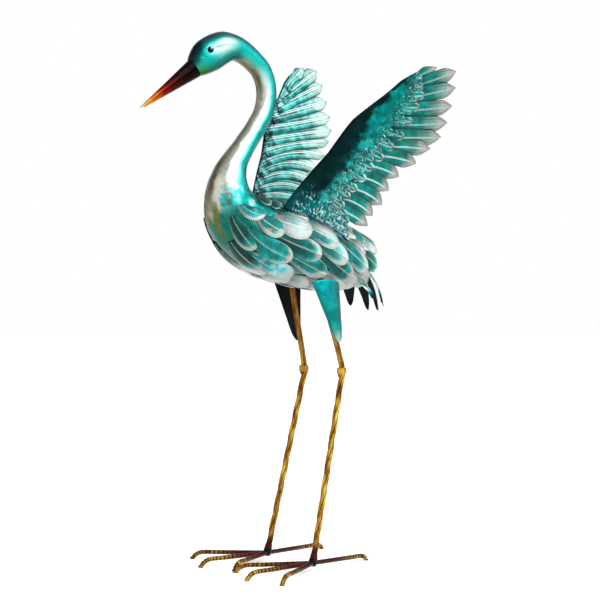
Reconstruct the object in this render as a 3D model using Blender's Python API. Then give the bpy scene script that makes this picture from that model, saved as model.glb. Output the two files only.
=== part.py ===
"""Garden statue of a standing crane with raised wings.

The real object is pressed and welded sheet steel, painted in metallic teal and silver. A hollow
shell makes the head, neck and body, cut steel feathers are welded over it, two feathered wings
stand up from the back, and bent rods make the legs and toes.

Frame: metres, +Z up, the crane faces -X with its left side to -Y, and the origin is on the
ground under the middle of the statue's bounding box.
"""

import math

import bmesh
import bpy
from mathutils import Vector

# Overall sheet and fitting sizes
SHEET = 0.0008              # thickness of a cut feather
WING_SHEET = 0.0012         # thickness of a wing panel
JOINT_GAP = 0.0004          # clearance between two pieces that touch

# Head, neck and body shell: a profile through the middle plane, from the bill's root to the rump.
# Each row is the section's centre x and z, the way the shell runs there in degrees, half the
# section's depth and half its width.
SHELL = [
    (-0.2123, 0.9054, 38, 0.0152, 0.0140),
    (-0.2035, 0.9140, 38, 0.0232, 0.0205),
    (-0.1835, 0.9305, 34, 0.0308, 0.0272),
    (-0.1520, 0.9470, 14, 0.0300, 0.0272),
    (-0.1263, 0.9502, -5, 0.0240, 0.0232),
    (-0.1047, 0.9432, -27, 0.0212, 0.0208),
    (-0.0825, 0.9290, -42, 0.0198, 0.0198),
    (-0.0660, 0.9140, -57, 0.0194, 0.0194),
    (-0.0556, 0.8921, -76, 0.0190, 0.0190),
    (-0.0530, 0.8700, -91, 0.0186, 0.0186),
    (-0.0563, 0.8500, -104, 0.0185, 0.0185),
    (-0.0642, 0.8290, -116, 0.0187, 0.0187),
    (-0.0765, 0.8100, -124, 0.0190, 0.0190),
    (-0.0920, 0.7885, -127, 0.0196, 0.0200),
    (-0.1100, 0.7650, -125, 0.0212, 0.0225),
    (-0.1245, 0.7441, -118, 0.0249, 0.0262),
    (-0.1340, 0.7246, -107, 0.0300, 0.0320),
    (-0.1385, 0.7042, -95, 0.0358, 0.0390),
    (-0.1375, 0.6854, -82, 0.0423, 0.0470),
    (-0.1320, 0.6645, -66, 0.0490, 0.0550),
    (-0.1190, 0.6457, -50, 0.0565, 0.0620),
    (-0.0930, 0.6250, -33, 0.0650, 0.0685),
    (-0.0540, 0.6100, -20, 0.0715, 0.0725),
    (-0.0142, 0.6005, -13, 0.0738, 0.0735),
    (0.0320, 0.5900, -12, 0.0730, 0.0720),
    (0.0803, 0.5795, -11, 0.0680, 0.0660),
]
# Rump of the shell, which closes it, and the line that the feather coat follows past it.
RUMP = [
    (0.1240, 0.5715, -9, 0.0530, 0.0520),
    (0.1470, 0.5680, -8, 0.0370, 0.0360),
    (0.1600, 0.5660, -8, 0.0180, 0.0180),
]
COAT_END = [
    (0.1271, 0.5700, -11, 0.0590, 0.0570),
    (0.1750, 0.5600, -14, 0.0470, 0.0440),
    (0.2250, 0.5460, -16, 0.0340, 0.0300),
]
SHELL_SIDES = 18

# Bill: two tapered halves, split along the mouth
BILL_LENGTH = 0.133
BILL_DROP = 35.0            # degrees below level
BILL_ROOT = (0.0156, 0.0134)   # half depth and half width at the head
BILL_TIP_RADIUS = 0.0013
LOWER_BILL_SHARE = 0.95     # the lower half stops short of the upper one
BILL_SIDES = 12
BILL_RINGS = (0.0, 0.25, 0.5, 0.75, 0.92, 1.0)   # shares of the bill's length
EYE_RADIUS = 0.0056
EYE_HEIGHT = 0.0042
EYE_STATION = 1.92          # place along SHELL
EYE_ANGLE = 68.0            # degrees round from the crown

# Feather coat on the body. Each row of feathers runs back along the side, and each feather is set
# by its tip's distance along the body, the tip's angle round from the back line, its length and
# its full width.
COAT_FRONT_STATION = 18.3   # place along SHELL that the distances start from
COAT_ROWS = (
    ((0.050, 84, 0.042, 0.030), (0.098, 88, 0.062, 0.034), (0.157, 76, 0.092, 0.039),
     (0.222, 82, 0.094, 0.032), (0.300, 78, 0.042, 0.034), (0.340, 96, 0.044, 0.032)),
    ((0.073, 130, 0.052, 0.034), (0.131, 118, 0.085, 0.038), (0.187, 102, 0.094, 0.038),
     (0.252, 98, 0.096, 0.037), (0.311, 103, 0.092, 0.036)),
    ((0.104, 154, 0.056, 0.042), (0.152, 142, 0.075, 0.037), (0.214, 125, 0.092, 0.036),
     (0.280, 122, 0.092, 0.036)),
)
COAT_SKEW = 200.0           # degrees per metre by which the rear feathers' roots sit higher
COAT_SKEW_START = 0.160
COAT_GAP = 0.0015           # under a feather's root
COAT_SLOPE = 0.066          # a feather's lift over its length
CUT_BY_LEG = (2, 2)         # row and place of the feather that each leg passes through
# Strip of belly feathers under the coat, and the mantle over the back between the wings
BELLY_STRIP = (0.100, 0.306, 150, 173)
MANTLE = (0.055, 0.330, -40, 40)
STRIP_FEATHERS = 3
MANTLE_FEATHERS = 4
STRIP_RISE = 0.0016
# A feather's half width as a share of its full half width, at shares of its length
FEATHER_OUTLINE = ((0.0, 0.48), (0.28, 0.82), (0.58, 1.0), (0.80, 0.94), (0.93, 0.62), (1.0, 0.20))

# Wings: each one lies in a plane, and both are cut to one pattern. The right one was welded on a
# little more upright.
WING_ROOT = (-0.055, 0.052, 0.667)   # front lower corner, y outwards
# For each wing, degrees outwards going back, degrees outwards going up, and degrees from level
# of its root line seen from the side
WING_SET = {"left": (13.5, 19.5, 51.2), "right": (11.0, 15.0, 58.0)}
WING_SHIFT = {"left": 0.0, "right": 0.004}   # and how much further back it is welded
WING_BULGE = 0.004          # how far the middle of a wing swells outwards
WING_SPAN = 0.157           # from the leading edge to the furthest tips behind it
# The pattern's outline: distance along the wing and behind its root line
LEADING_EDGE = (
    (-0.006, 0.003), (0.020, -0.004), (0.080, -0.009), (0.125, -0.011), (0.180, -0.0205),
    (0.200, -0.022), (0.240, -0.016), (0.280, -0.009), (0.310, -0.007), (0.345, 0.004),
)
# Where the wing meets the body: distance behind the root line, and along the wing
FOOT_LINE = (
    (-0.03, -0.004), (0.007, -0.003), (0.0216, 0.006), (0.0385, 0.0165), (0.054, 0.024),
    (0.070, 0.029), (0.088, 0.032), (0.104, 0.035), (0.120, 0.038), (0.160, 0.045),
)
# Tips of the feathers: distance along, distance behind, and direction in degrees from the root line
FLIGHT_TIPS = (
    (0.086, 0.157, 77), (0.1055, 0.149, 78), (0.132, 0.147, 77), (0.159, 0.136, 74),
    (0.190, 0.131, 69), (0.231, 0.138, 60), (0.268, 0.138, 51), (0.298, 0.137, 46),
    (0.3245, 0.125, 44), (0.351, 0.1075, 42), (0.378, 0.0857, 36), (0.398, 0.063, 28),
    (0.376, 0.029, 24),
)
COVERT_TIPS = (
    (0.0465, 0.142, 80), (0.0555, 0.134, 80), (0.0643, 0.1206, 79), (0.0705, 0.1073, 79),
    (0.078, 0.090, 78), (0.0972, 0.0854, 76), (0.1166, 0.0842, 75), (0.141, 0.083, 73),
    (0.165, 0.078, 71), (0.191, 0.079, 67), (0.219, 0.079, 61), (0.247, 0.078, 54),
    (0.277, 0.069, 49), (0.304, 0.059, 46), (0.325, 0.049, 42), (0.335, 0.034, 36),
    (0.344, 0.0204, 30), (0.346, 0.0073, 24),
)
# Where their roots lie along the leading edge: first, last, and how they crowd towards the first
FLIGHT_ROOTS = (0.012, 0.300, 1.25)
COVERT_ROOTS = (-0.002, 0.334, 1.10)
QUILL_STRAIGHT = 0.45       # share of a feather that runs in its tip's direction
FLIGHT_NOTCH = 0.026        # how far the tips stand clear of each other
COVERT_NOTCH = 0.012
FEATHER_HALF_WIDTH = 0.0115
RIB_LIFT = 0.0014           # each feather is folded up along its rib
PANEL_GAP = 0.0036          # from the flight feathers up to the covert panel

# Tail: pointed plumes that hang from the rump, in pairs
TAIL_PLUMES = (
    # root x, y, z; tip x, y, z; degrees the plume faces from straight back; full width
    ((0.1625, 0.010, 0.558), (0.198, 0.014, 0.474), 14, 0.026),
    ((0.1580, 0.032, 0.550), (0.182, 0.047, 0.482), 40, 0.026),
    ((0.1340, 0.038, 0.531), (0.148, 0.060, 0.497), 62, 0.024),
)
TAIL_THROW = 0.012          # how far a plume swings out before it hangs

# Legs, from the hip down. Half distances across are for each side.
HIP = (0.034, 0.0455, 0.545)
KNEE = (0.0766, 0.0580, 0.3625)
ANKLE = (0.0, 0.0710, 0.0185)
LEG_RADIUS = 0.0058
LEG_FLUTE = 0.14            # depth of the grooves between the twisted strands, as a share
LEG_STRANDS = 3
SHANK_TURNS = 2.6
KNEE_STRAIGHT = 0.0105      # straight end of each rod in the collar, past the collar's middle
COLLAR_RADIUS = 0.0090
COLLAR_HEIGHT = 0.0135
SOCKET_CLEARANCE = 0.0005

# Thigh plates: one curved tapering plate outside each leg
THIGH_TOP = (0.0370, 0.0585, 0.5325)
THIGH_FOOT = (0.0660, 0.0650, 0.4170)
THIGH_WIDTHS = ((0.0, 0.064), (0.25, 0.052), (0.5, 0.040), (0.75, 0.028), (0.92, 0.018), (1.0, 0.006))
THIGH_CROWN = 0.010         # how far the plate bows outwards

# Feet: four toes of round bar welded to a hub
TOE_RADIUS = 0.0039
# For each foot's toes, degrees from straight ahead towards the right, length, and height of the bend
TOES = {
    "left": ((-31, 0.146, 0.0145), (-1, 0.150, 0.0145), (33, 0.142, 0.0140), (166, 0.162, 0.0105)),
    "right": ((-25, 0.124, 0.0145), (7, 0.142, 0.0145), (47, 0.147, 0.0140), (163, 0.178, 0.0105)),
}
TOE_HEIGHT = 0.0168         # centre of the toes above the ground at the hub
TOE_HOOK = 1.25             # length of the tip that turns down to the ground, as a share of its height
HUB_RADIUS = 0.0078
HUB_RINGS = ((-0.0070, 0.6), (-0.0040, 1.0), (0.0040, 1.0))   # height and share of the radius
HUB_HEIGHT = 0.014

TEAL = ((0.01, 0.42, 0.40), 0.30, 0.6)
SILVER_TEAL = ((0.30, 0.62, 0.58), 0.32, 0.7)
DARK = ((0.012, 0.013, 0.014), 0.45, 0.1)
GOLD = ((0.45, 0.27, 0.06), 0.35, 0.8)
BILL_RED = ((0.22, 0.03, 0.015), 0.35, 0.3)
EYE_BLACK = ((0.005, 0.005, 0.005), 0.08, 0.0)


def spline(rows, t):
    """A smooth curve through the rows, read at row number t."""
    last = len(rows) - 1
    i = max(0, min(last - 1, int(math.floor(t))))
    f = t - i
    before, here = rows[max(0, i - 1)], rows[i]
    after, later = rows[i + 1], rows[min(last, i + 2)]
    return [
        0.5 * (2 * b + (c - a) * f + (2 * a - 5 * b + 4 * c - d) * f * f + (3 * b - a - 3 * c + d) * f ** 3)
        for a, b, c, d in zip(before, here, after, later)
    ]


def polyline(points, t):
    """Straight-line reading of (key, value) pairs."""
    for (t0, v0), (t1, v1) in zip(points, points[1:]):
        if t <= t1:
            return v0 + (v1 - v0) * (t - t0) / (t1 - t0)
    return points[-1][1]


def material(name, look):
    colour, roughness, metallic = look
    made = bpy.data.materials.get(name)
    if made is None:
        made = bpy.data.materials.new(name)
        made.use_nodes = True
        shader = made.node_tree.nodes["Principled BSDF"]
        shader.inputs["Base Color"].default_value = (*colour, 1)
        shader.inputs["Roughness"].default_value = roughness
        shader.inputs["Metallic"].default_value = metallic
    return made


def new_object(name, bm, parent, finish, smooth=True):
    """Turns a bmesh into a named object whose faces point out."""
    bmesh.ops.recalc_face_normals(bm, faces=bm.faces)
    mesh = bpy.data.meshes.new(name)
    bm.to_mesh(mesh)
    bm.free()
    made = bpy.data.objects.new(name, mesh)
    bpy.context.scene.collection.objects.link(made)
    made.parent = parent
    mesh.materials.append(material(*finish))
    if smooth:
        mesh.shade_smooth()
        mesh.set_sharp_from_angle(angle=math.radians(35))
    return made


def section(rows, t, angle, side=1):
    """A point on the shell: place t along the rows, angle in degrees round from the back line."""
    x, z, run, depth, width = spline(rows, t)
    run = math.radians(run)
    a = math.radians(angle)
    up = depth * math.cos(a)
    return Vector((x - math.sin(run) * up, -side * width * math.sin(a), z + math.cos(run) * up))


def shell_normal(rows, t, angle, side=1):
    step = 0.02
    along = section(rows, t + step, angle, side) - section(rows, t - step, angle, side)
    across = section(rows, t, angle + 1, side) - section(rows, t, angle - 1, side)
    normal = across.cross(along).normalized() * side
    return normal


def bridge_rings(bm, rings, cap_start=True, cap_end=True):
    """Skins a list of equal rings of vertices and caps the ends."""
    for lower, upper in zip(rings, rings[1:]):
        count = len(lower)
        for i in range(count):
            j = (i + 1) % count
            bm.faces.new((lower[i], lower[j], upper[j], upper[i]))
    if cap_start:
        bm.faces.new(rings[0][::-1])
    if cap_end:
        bm.faces.new(rings[-1])


def make_shell(root):
    """Head, neck and body in one skin, with a hole up each hip for the leg."""
    rows = SHELL + RUMP
    bm = bmesh.new()
    rings = []
    for half_step in range(2 * (len(rows) - 1) + 1):
        t = half_step / 2
        # Half steps only where the skin turns quickly, at the head and the breast
        if t == int(t) or t < 5 or 17 < t < 23:
            rings.append([
                bm.verts.new(section(rows, t, 360 * i / SHELL_SIDES)) for i in range(SHELL_SIDES)
            ])
    bridge_rings(bm, rings)
    shell = new_object("head_neck_and_body", bm, root, ("shell_paint", SILVER_TEAL))
    for side, sign in (("left", 1), ("right", -1)):
        cut_for_leg(shell, side, sign, root)
    return shell


def cut_for_leg(target, side, sign, root):
    """Cuts the hole that the top of a leg passes through."""
    name = side + "_hip_socket"
    cutter = bpy.data.objects.get(name)
    if cutter is None:
        cutter = leg_rod(
            name, hip_points(sign, JOINT_GAP + SOCKET_CLEARANCE), LEG_RADIUS + SOCKET_CLEARANCE,
            0.0, 0.0, 1, root, ("socket", DARK), 16,
        )
        cutter.hide_render = True
        cutter.display_type = "WIRE"
    cut = target.modifiers.new(side + "_hip", "BOOLEAN")
    cut.operation = "DIFFERENCE"
    cut.solver = "EXACT"
    cut.object = cutter


def make_bill(root):
    """Upper and lower halves of the bill, each a tapered half round."""
    x, z, run, depth, width = SHELL[0]
    run = math.radians(run)
    drop = math.radians(BILL_DROP)
    forward = Vector((-math.cos(drop), 0, -math.sin(drop)))
    upward = Vector((-math.sin(drop), 0, math.cos(drop)))
    start = Vector((x, 0, z)) + forward * (JOINT_GAP + 0.0012)
    half = BILL_SIDES // 2
    for name, sign, share in (("bill_upper", 1, 1.0), ("bill_lower", -1, LOWER_BILL_SHARE)):
        bm = bmesh.new()
        rings = []
        for t in BILL_RINGS:
            taper = 1 - t * share
            deep = BILL_TIP_RADIUS + (BILL_ROOT[0] - BILL_TIP_RADIUS) * taper
            wide = BILL_TIP_RADIUS + (BILL_ROOT[1] - BILL_TIP_RADIUS) * taper
            centre = start + forward * (BILL_LENGTH * share * t) + upward * (sign * JOINT_GAP / 2)
            ring = []
            for i in range(half + 1):
                a = math.pi * i / half
                ring.append(bm.verts.new(
                    centre + upward * (sign * deep * math.sin(a)) + Vector((0, wide * math.cos(a), 0))
                ))
            rings.append(ring)
        bridge_rings(bm, rings)
        new_object(name, bm, root, ("bill_paint", BILL_RED))


def make_eyes(root):
    """A glossy half bead on each side of the head."""
    for side, sign in (("left", 1), ("right", -1)):
        centre = section(SHELL, EYE_STATION, EYE_ANGLE, sign)
        out = shell_normal(SHELL, EYE_STATION, EYE_ANGLE, sign)
        across = out.cross(Vector((0, 0, 1))).normalized()
        up = across.cross(out).normalized()
        bm = bmesh.new()
        rings = []
        for k in range(4):
            a = math.radians(90) * k / 4
            ring_radius = EYE_RADIUS * math.cos(a)
            lift = JOINT_GAP + EYE_HEIGHT * math.sin(a)
            rings.append([
                bm.verts.new(
                    centre + out * lift
                    + across * (ring_radius * math.cos(math.tau * i / 12))
                    + up * (ring_radius * math.sin(math.tau * i / 12))
                )
                for i in range(12)
            ])
        bridge_rings(bm, rings)
        new_object(side + "_eye", bm, root, ("eye_bead", EYE_BLACK))


def thicken(bm, lift):
    """Gives a skin of faces its thickness. lift maps a bottom vertex to its top place."""
    places = {v: lift(v) for v in bm.verts}
    grown = bmesh.ops.extrude_face_region(bm, geom=bm.faces[:])
    tops = [v for v in grown["geom"] if isinstance(v, bmesh.types.BMVert)]
    by_place = {tuple(round(c, 7) for c in v.co): place for v, place in places.items()}
    moves = [(v, by_place[tuple(round(c, 7) for c in v.co)]) for v in tops]
    for v, place in moves:
        v.co = place


def distances_along(rows, start, step=0.05):
    """Pairs of distance along the rows' centre line, from the start station, and station."""
    pairs = []
    total = 0.0
    before = spline(rows, 0.0)
    for i in range(int(round((len(rows) - 1) / step)) + 1):
        here = spline(rows, i * step)
        total += math.hypot(here[0] - before[0], here[1] - before[1])
        pairs.append((total, i * step))
        before = here
    origin = polyline([(station, distance) for distance, station in pairs], start)
    return [(distance - origin, station) for distance, station in pairs]


COAT_BODY = SHELL + COAT_END
COAT_DISTANCES = distances_along(COAT_BODY, COAT_FRONT_STATION)


def coat_point(distance, angle, side, lift):
    """A point over the body: distance along it, angle round it, lift off it."""
    t = polyline(COAT_DISTANCES, distance)
    return section(COAT_BODY, t, angle, side) + shell_normal(COAT_BODY, t, angle, side) * lift


def plate(name, grid, tops, bm, root, finish):
    """Skins a grid of vertices, thickens it to its top places and makes the object."""
    for lower, upper in zip(grid, grid[1:]):
        for i in range(len(lower) - 1):
            bm.faces.new((lower[i], lower[i + 1], upper[i + 1], upper[i]))
    thicken(bm, lambda v: tops[v])
    return new_object(name, bm, root, finish)


def make_coat_feather(name, root, tip, angle, length, width, side):
    """One cut feather that follows the body and lifts towards its rounded tip."""
    bm = bmesh.new()
    grid = []
    tops = {}
    skew = COAT_SKEW * max(0.0, tip - COAT_SKEW_START) * length / COAT_ROWS[0][2][2]
    for share, wide in FEATHER_OUTLINE:
        distance = tip - length * (1 - share)
        depth, across = spline(COAT_BODY, polyline(COAT_DISTANCES, distance))[3:5]
        reach = math.degrees(width * wide / (depth + across))
        lift = COAT_GAP + COAT_SLOPE * share * length
        row = []
        for place in (-1, 0, 1):
            a = angle - skew * (1 - share) + place * reach
            vertex = bm.verts.new(coat_point(distance, a, side, lift))
            tops[vertex] = coat_point(distance, a, side, lift + SHEET)
            row.append(vertex)
        grid.append(row)
    return plate(name, grid, tops, bm, root, ("feather_paint", SILVER_TEAL))


def make_strip(name, root, extent, feathers, columns, side):
    """A strip of feathers stamped in one: a plate that rises and steps down along the body."""
    start, end, first, last = extent
    bm = bmesh.new()
    grid = []
    tops = {}
    for k in range(feathers):
        for share in (0.0, 0.5, 0.97):
            distance = start + (end - start) * (k + share) / feathers
            row = []
            for i in range(columns + 1):
                angle = first + (last - first) * i / columns
                lift = COAT_GAP * 0.5 + STRIP_RISE * share
                vertex = bm.verts.new(coat_point(distance, angle, side, lift))
                tops[vertex] = coat_point(distance, angle, side, lift + SHEET)
                row.append(vertex)
            grid.append(row)
    return plate(name, grid, tops, bm, root, ("feather_paint", SILVER_TEAL))


def make_coat(root):
    """Feathers of the body: overlapping rows on each side, a belly strip and a mantle."""
    for side, sign in (("left", 1), ("right", -1)):
        for r, row in enumerate(COAT_ROWS):
            for n, (tip, angle, length, width) in enumerate(row):
                feather = make_coat_feather(
                    f"{side}_body_feather_{r + 1}_{n + 1}", root, tip, angle, length, width, sign
                )
                if (r, n) == CUT_BY_LEG:
                    cut_for_leg(feather, side, sign, root)
        make_strip(side + "_belly_feathers", root, BELLY_STRIP, STRIP_FEATHERS, 2, sign)
    make_strip("mantle_feathers", root, MANTLE, MANTLE_FEATHERS, 4, 1)


def wing_axes(side):
    """Directions along a wing's root line, back across the wing, and out of it."""
    flare, lean, climb = (math.radians(angle) for angle in WING_SET[side])
    run, rise = math.cos(climb), math.sin(climb)
    along = Vector((run, math.tan(flare) * run + math.tan(lean) * rise, rise)).normalized()
    out = Vector((-math.tan(flare), 1.0, -math.tan(lean))).normalized()
    back = out.cross(along).normalized()
    sign = 1 if side == "left" else -1
    return [Vector((v.x, -sign * v.y, v.z)) for v in (along, back, out)]


def wing_point(side, p, q, lift):
    """A point of a wing: p along its root line, q behind it, lift out of the wing's plane."""
    along, back, out = wing_axes(side)
    x, y, z = WING_ROOT
    swell = WING_BULGE * math.sin(math.pi * min(1.0, max(0.0, q / WING_SPAN)))
    start = Vector((x + WING_SHIFT[side], -y if side == "left" else y, z))
    return start + along * p + back * q + out * (lift + swell)


def quill(tip, root_p, inset):
    """The curved centre line of a wing feather, from its root by the leading edge to its tip."""
    end = Vector((tip[0], tip[1]))
    start = Vector((root_p, polyline(LEADING_EDGE, root_p) + inset))
    angle = math.radians(tip[2])
    straight = Vector((math.cos(angle), math.sin(angle))) * (end - start).length * QUILL_STRAIGHT
    turn = end - straight
    return start, turn, end


def read_quill(points, share):
    start, turn, end = points
    return start * (1 - share) ** 2 + turn * (2 * share * (1 - share)) + end * share ** 2


def quill_side(points, share, reach):
    """A place beside a quill, on the lower side of the wing where reach is positive."""
    ahead = read_quill(points, min(1, share + 0.02)) - read_quill(points, max(0, share - 0.02))
    return read_quill(points, share) + Vector((-ahead.y, ahead.x)).normalized() * reach


def make_fan(name, root, side, feather_tips, roots, inset, notch, lift):
    """A wing panel: a sheet of folded feathers that are parted at their tips."""
    last = len(feather_tips) - 1
    first_root, last_root, crowding = roots
    quills = [
        quill(tip, first_root + (last_root - first_root) * (i / last) ** crowding, inset)
        for i, tip in enumerate(feather_tips)
    ]
    parted = [max(0.5, 1 - notch / (points[2] - points[0]).length) for points in quills]
    steps = (0.0, 0.5, 1.0)
    bm = bmesh.new()

    def vertex(place, high):
        p = max(place.x, polyline(FOOT_LINE, place.y) + inset)
        return bm.verts.new(wing_point(side, p, place.y, lift + (RIB_LIFT if high else 0)))

    ribs = [
        [vertex(read_quill(points, step * stop), True) for step in steps]
        for points, stop in zip(quills, parted)
    ]
    edge = FEATHER_HALF_WIDTH * 0.8
    seams = [[
        vertex(quill_side(quills[0], step * parted[0], edge * max(0.3, step)), False)
        for step in steps
    ]]
    for i in range(last):
        seams.append([
            vertex((read_quill(quills[i], step * parted[i])
                    + read_quill(quills[i + 1], step * parted[i + 1])) / 2, False)
            for step in steps
        ])
    seams.append([
        vertex(quill_side(quills[last], step * parted[last], -edge * max(0.3, step)), False)
        for step in steps
    ])
    for i, points in enumerate(quills):
        shoulder = 1 - 0.5 * (1 - parted[i])
        reach = FEATHER_HALF_WIDTH * 0.72
        low = vertex(quill_side(points, shoulder, reach), False)
        middle = vertex(read_quill(points, shoulder), True)
        high = vertex(quill_side(points, shoulder, -reach), False)
        tip = vertex(read_quill(points, 1.0), False)
        for k in range(len(steps) - 1):
            bm.faces.new((seams[i][k], ribs[i][k], ribs[i][k + 1], seams[i][k + 1]))
            bm.faces.new((ribs[i][k], seams[i + 1][k], seams[i + 1][k + 1], ribs[i][k + 1]))
        bm.faces.new((seams[i][-1], ribs[i][-1], middle, low))
        bm.faces.new((ribs[i][-1], seams[i + 1][-1], high, middle))
        bm.faces.new((low, middle, tip))
        bm.faces.new((middle, high, tip))
    out = wing_axes(side)[2]
    thicken(bm, lambda v: v.co + out * WING_SHEET)
    return new_object(name, bm, root, ("wing_paint", TEAL))


def make_wings(root):
    """On each wing, long flight feathers with a panel of shoulder and covert feathers over them."""
    for side in ("left", "right"):
        make_fan(side + "_wing_flight_feathers", root, side, FLIGHT_TIPS, FLIGHT_ROOTS, 0.005,
                 FLIGHT_NOTCH, 0.0)
        make_fan(side + "_wing_coverts", root, side, COVERT_TIPS, COVERT_ROOTS, 0.001,
                 COVERT_NOTCH, PANEL_GAP)


def make_tail(root):
    """Pairs of pointed plumes that swing out from the rump and hang down."""
    for number, (top, tip, facing, width) in enumerate(TAIL_PLUMES):
        for side, sign in (("left", 1), ("right", -1)):
            start = Vector((top[0], -sign * top[1], top[2]))
            end = Vector((tip[0], -sign * tip[1], tip[2]))
            turn = math.radians(facing)
            out = Vector((math.cos(turn), -sign * math.sin(turn), 0))
            across = Vector((-out.y, out.x, 0))
            bm = bmesh.new()
            grid = []
            for share, wide in ((0.0, 0.55), (0.25, 0.85), (0.5, 1.0), (0.75, 0.85), (0.92, 0.42)):
                centre = start.lerp(end, share) + out * (TAIL_THROW * math.sin(math.pi * share) * 0.5)
                half = across * (width * wide / 2)
                grid.append([bm.verts.new(centre + offset) for offset in (-half, out * 0.003, half)])
            for lower, upper in zip(grid, grid[1:]):
                for i in range(2):
                    bm.faces.new((lower[i], lower[i + 1], upper[i + 1], upper[i]))
            point = bm.verts.new(end)
            for i in range(2):
                bm.faces.new((grid[-1][i], grid[-1][i + 1], point))
            thicken(bm, lambda v: v.co + out * SHEET)
            new_object(f"{side}_tail_plume_{number + 1}", bm, root, ("plume_paint", DARK))


def mirrored(place, sign):
    return Vector((place[0], -sign * place[1], place[2]))


def leg_rod(name, points, radius, flute, turns, rings_between, root, finish, sides=9):
    """A rod of twisted strands along a bent line, with flat ends."""
    lengths = [0.0]
    for a, b in zip(points, points[1:]):
        lengths.append(lengths[-1] + (b - a).length)
    stops = sorted({0.0, lengths[-1], *lengths[1:-1]}
                   | {lengths[-1] * k / rings_between for k in range(rings_between)})
    stops = [s for i, s in enumerate(stops) if i == 0 or s - stops[i - 1] > 0.002 or s in lengths]
    bm = bmesh.new()
    rings = []
    for stop in stops:
        i = max(0, min(len(points) - 2, sum(1 for length in lengths[1:] if length <= stop - 1e-9)))
        f = (stop - lengths[i]) / (lengths[i + 1] - lengths[i])
        centre = points[i].lerp(points[i + 1], f)
        way = (points[i + 1] - points[i]).normalized()
        if f > 1 - 1e-6 and i + 2 < len(points):
            way = (way + (points[i + 2] - points[i + 1]).normalized()).normalized()
        if f < 1e-6 and i > 0:
            way = (way + (points[i] - points[i - 1]).normalized()).normalized()
        across = way.cross(Vector((0, 1, 0))).normalized()
        other = way.cross(across).normalized()
        twist = math.tau * turns * stop / lengths[-1]
        ring = []
        for k in range(sides):
            a = math.tau * k / sides
            r = radius * (1 - flute * (0.5 - 0.5 * math.cos(LEG_STRANDS * a)))
            ring.append(bm.verts.new(
                centre + across * (r * math.cos(a + twist)) + other * (r * math.sin(a + twist))
            ))
        rings.append(ring)
    bridge_rings(bm, rings)
    return new_object(name, bm, root, finish)


def hip_points(sign, extra=0.0):
    """The upper leg's line, from inside the body down into the knee collar."""
    hip, knee = mirrored(HIP, sign), mirrored(KNEE, sign)
    bend = knee + Vector((0, 0, KNEE_STRAIGHT))
    way = (hip - bend).normalized()
    if extra:
        return [bend.lerp(hip, 0.6), hip + way * extra]
    return [knee + Vector((0, 0, JOINT_GAP)), bend, hip]


def shank_points(sign):
    knee, ankle = mirrored(KNEE, sign), mirrored(ANKLE, sign)
    bend = knee - Vector((0, 0, KNEE_STRAIGHT))
    way = (bend - ankle).normalized()
    return [knee - Vector((0, 0, JOINT_GAP)), bend, ankle + way * (HUB_HEIGHT + JOINT_GAP)]


def make_legs(root):
    for side, sign in (("left", 1), ("right", -1)):
        leg_rod(side + "_upper_leg", hip_points(sign), LEG_RADIUS, LEG_FLUTE, 0.35, 5, root,
                ("gold_paint", GOLD))
        leg_rod(side + "_shank", shank_points(sign), LEG_RADIUS, LEG_FLUTE, SHANK_TURNS, 20, root,
                ("gold_paint", GOLD))
        make_collar(side, sign, root)
        make_foot(side, sign, root)
        make_thigh_plate(side, sign, root)


def make_collar(side, sign, root):
    """Short sleeve that joins the two rods of a leg."""
    knee = mirrored(KNEE, sign)
    inner = LEG_RADIUS + JOINT_GAP
    chamfer = 0.0012
    top = COLLAR_HEIGHT / 2
    profile = [
        (inner, -top), (COLLAR_RADIUS - chamfer, -top), (COLLAR_RADIUS, -top + chamfer),
        (COLLAR_RADIUS, top - chamfer), (COLLAR_RADIUS - chamfer, top), (inner, top),
    ]
    sides = 16
    bm = bmesh.new()
    rings = []
    for k in range(sides):
        a = math.tau * k / sides
        rings.append([
            bm.verts.new(knee + Vector((r * math.cos(a), r * math.sin(a), z))) for r, z in profile
        ])
    bridge_rings(bm, rings + [rings[0]], False, False)
    new_object(side + "_knee_collar", bm, root, ("gold_paint", GOLD))


def make_thigh_plate(side, sign, root):
    """Curved tapering plate on the outside of the leg, hung from the belly."""
    top, foot = mirrored(THIGH_TOP, sign), mirrored(THIGH_FOOT, sign)
    out = Vector((0, -sign, 0))
    bm = bmesh.new()
    grid = []
    for share, width in THIGH_WIDTHS:
        centre = top.lerp(foot, share)
        row = []
        for place in (-1, -0.5, 0, 0.5, 1):
            bow = THIGH_CROWN * (width / THIGH_WIDTHS[0][1]) * (1 - place * place)
            row.append(bm.verts.new(centre + Vector((place * width / 2, 0, 0)) + out * bow))
        grid.append(row)
    for lower, upper in zip(grid, grid[1:]):
        for i in range(4):
            bm.faces.new((lower[i], lower[i + 1], upper[i + 1], upper[i]))
    thicken(bm, lambda v: v.co + out * SHEET)
    new_object(side + "_thigh_plate", bm, root, ("thigh_paint", TEAL))


def toe_points(angle, length, bend, centre):
    """A toe's line: nearly level from the hub, then bent down to a cut end on the ground."""
    way = Vector((-math.cos(angle), math.sin(angle), 0))
    hook = bend * TOE_HOOK
    level = length - hook
    hub = Vector((centre.x, centre.y, 0))
    stops = (
        (0.0, TOE_HEIGHT), (level * 0.55, (TOE_HEIGHT + bend) / 2), (level, bend),
        (level + hook * 0.45, bend * 0.70), (level + hook * 0.85, bend * 0.28), (length, 0.0),
    )
    return [hub + way * reach + Vector((0, 0, height)) for reach, height in stops]


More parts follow.
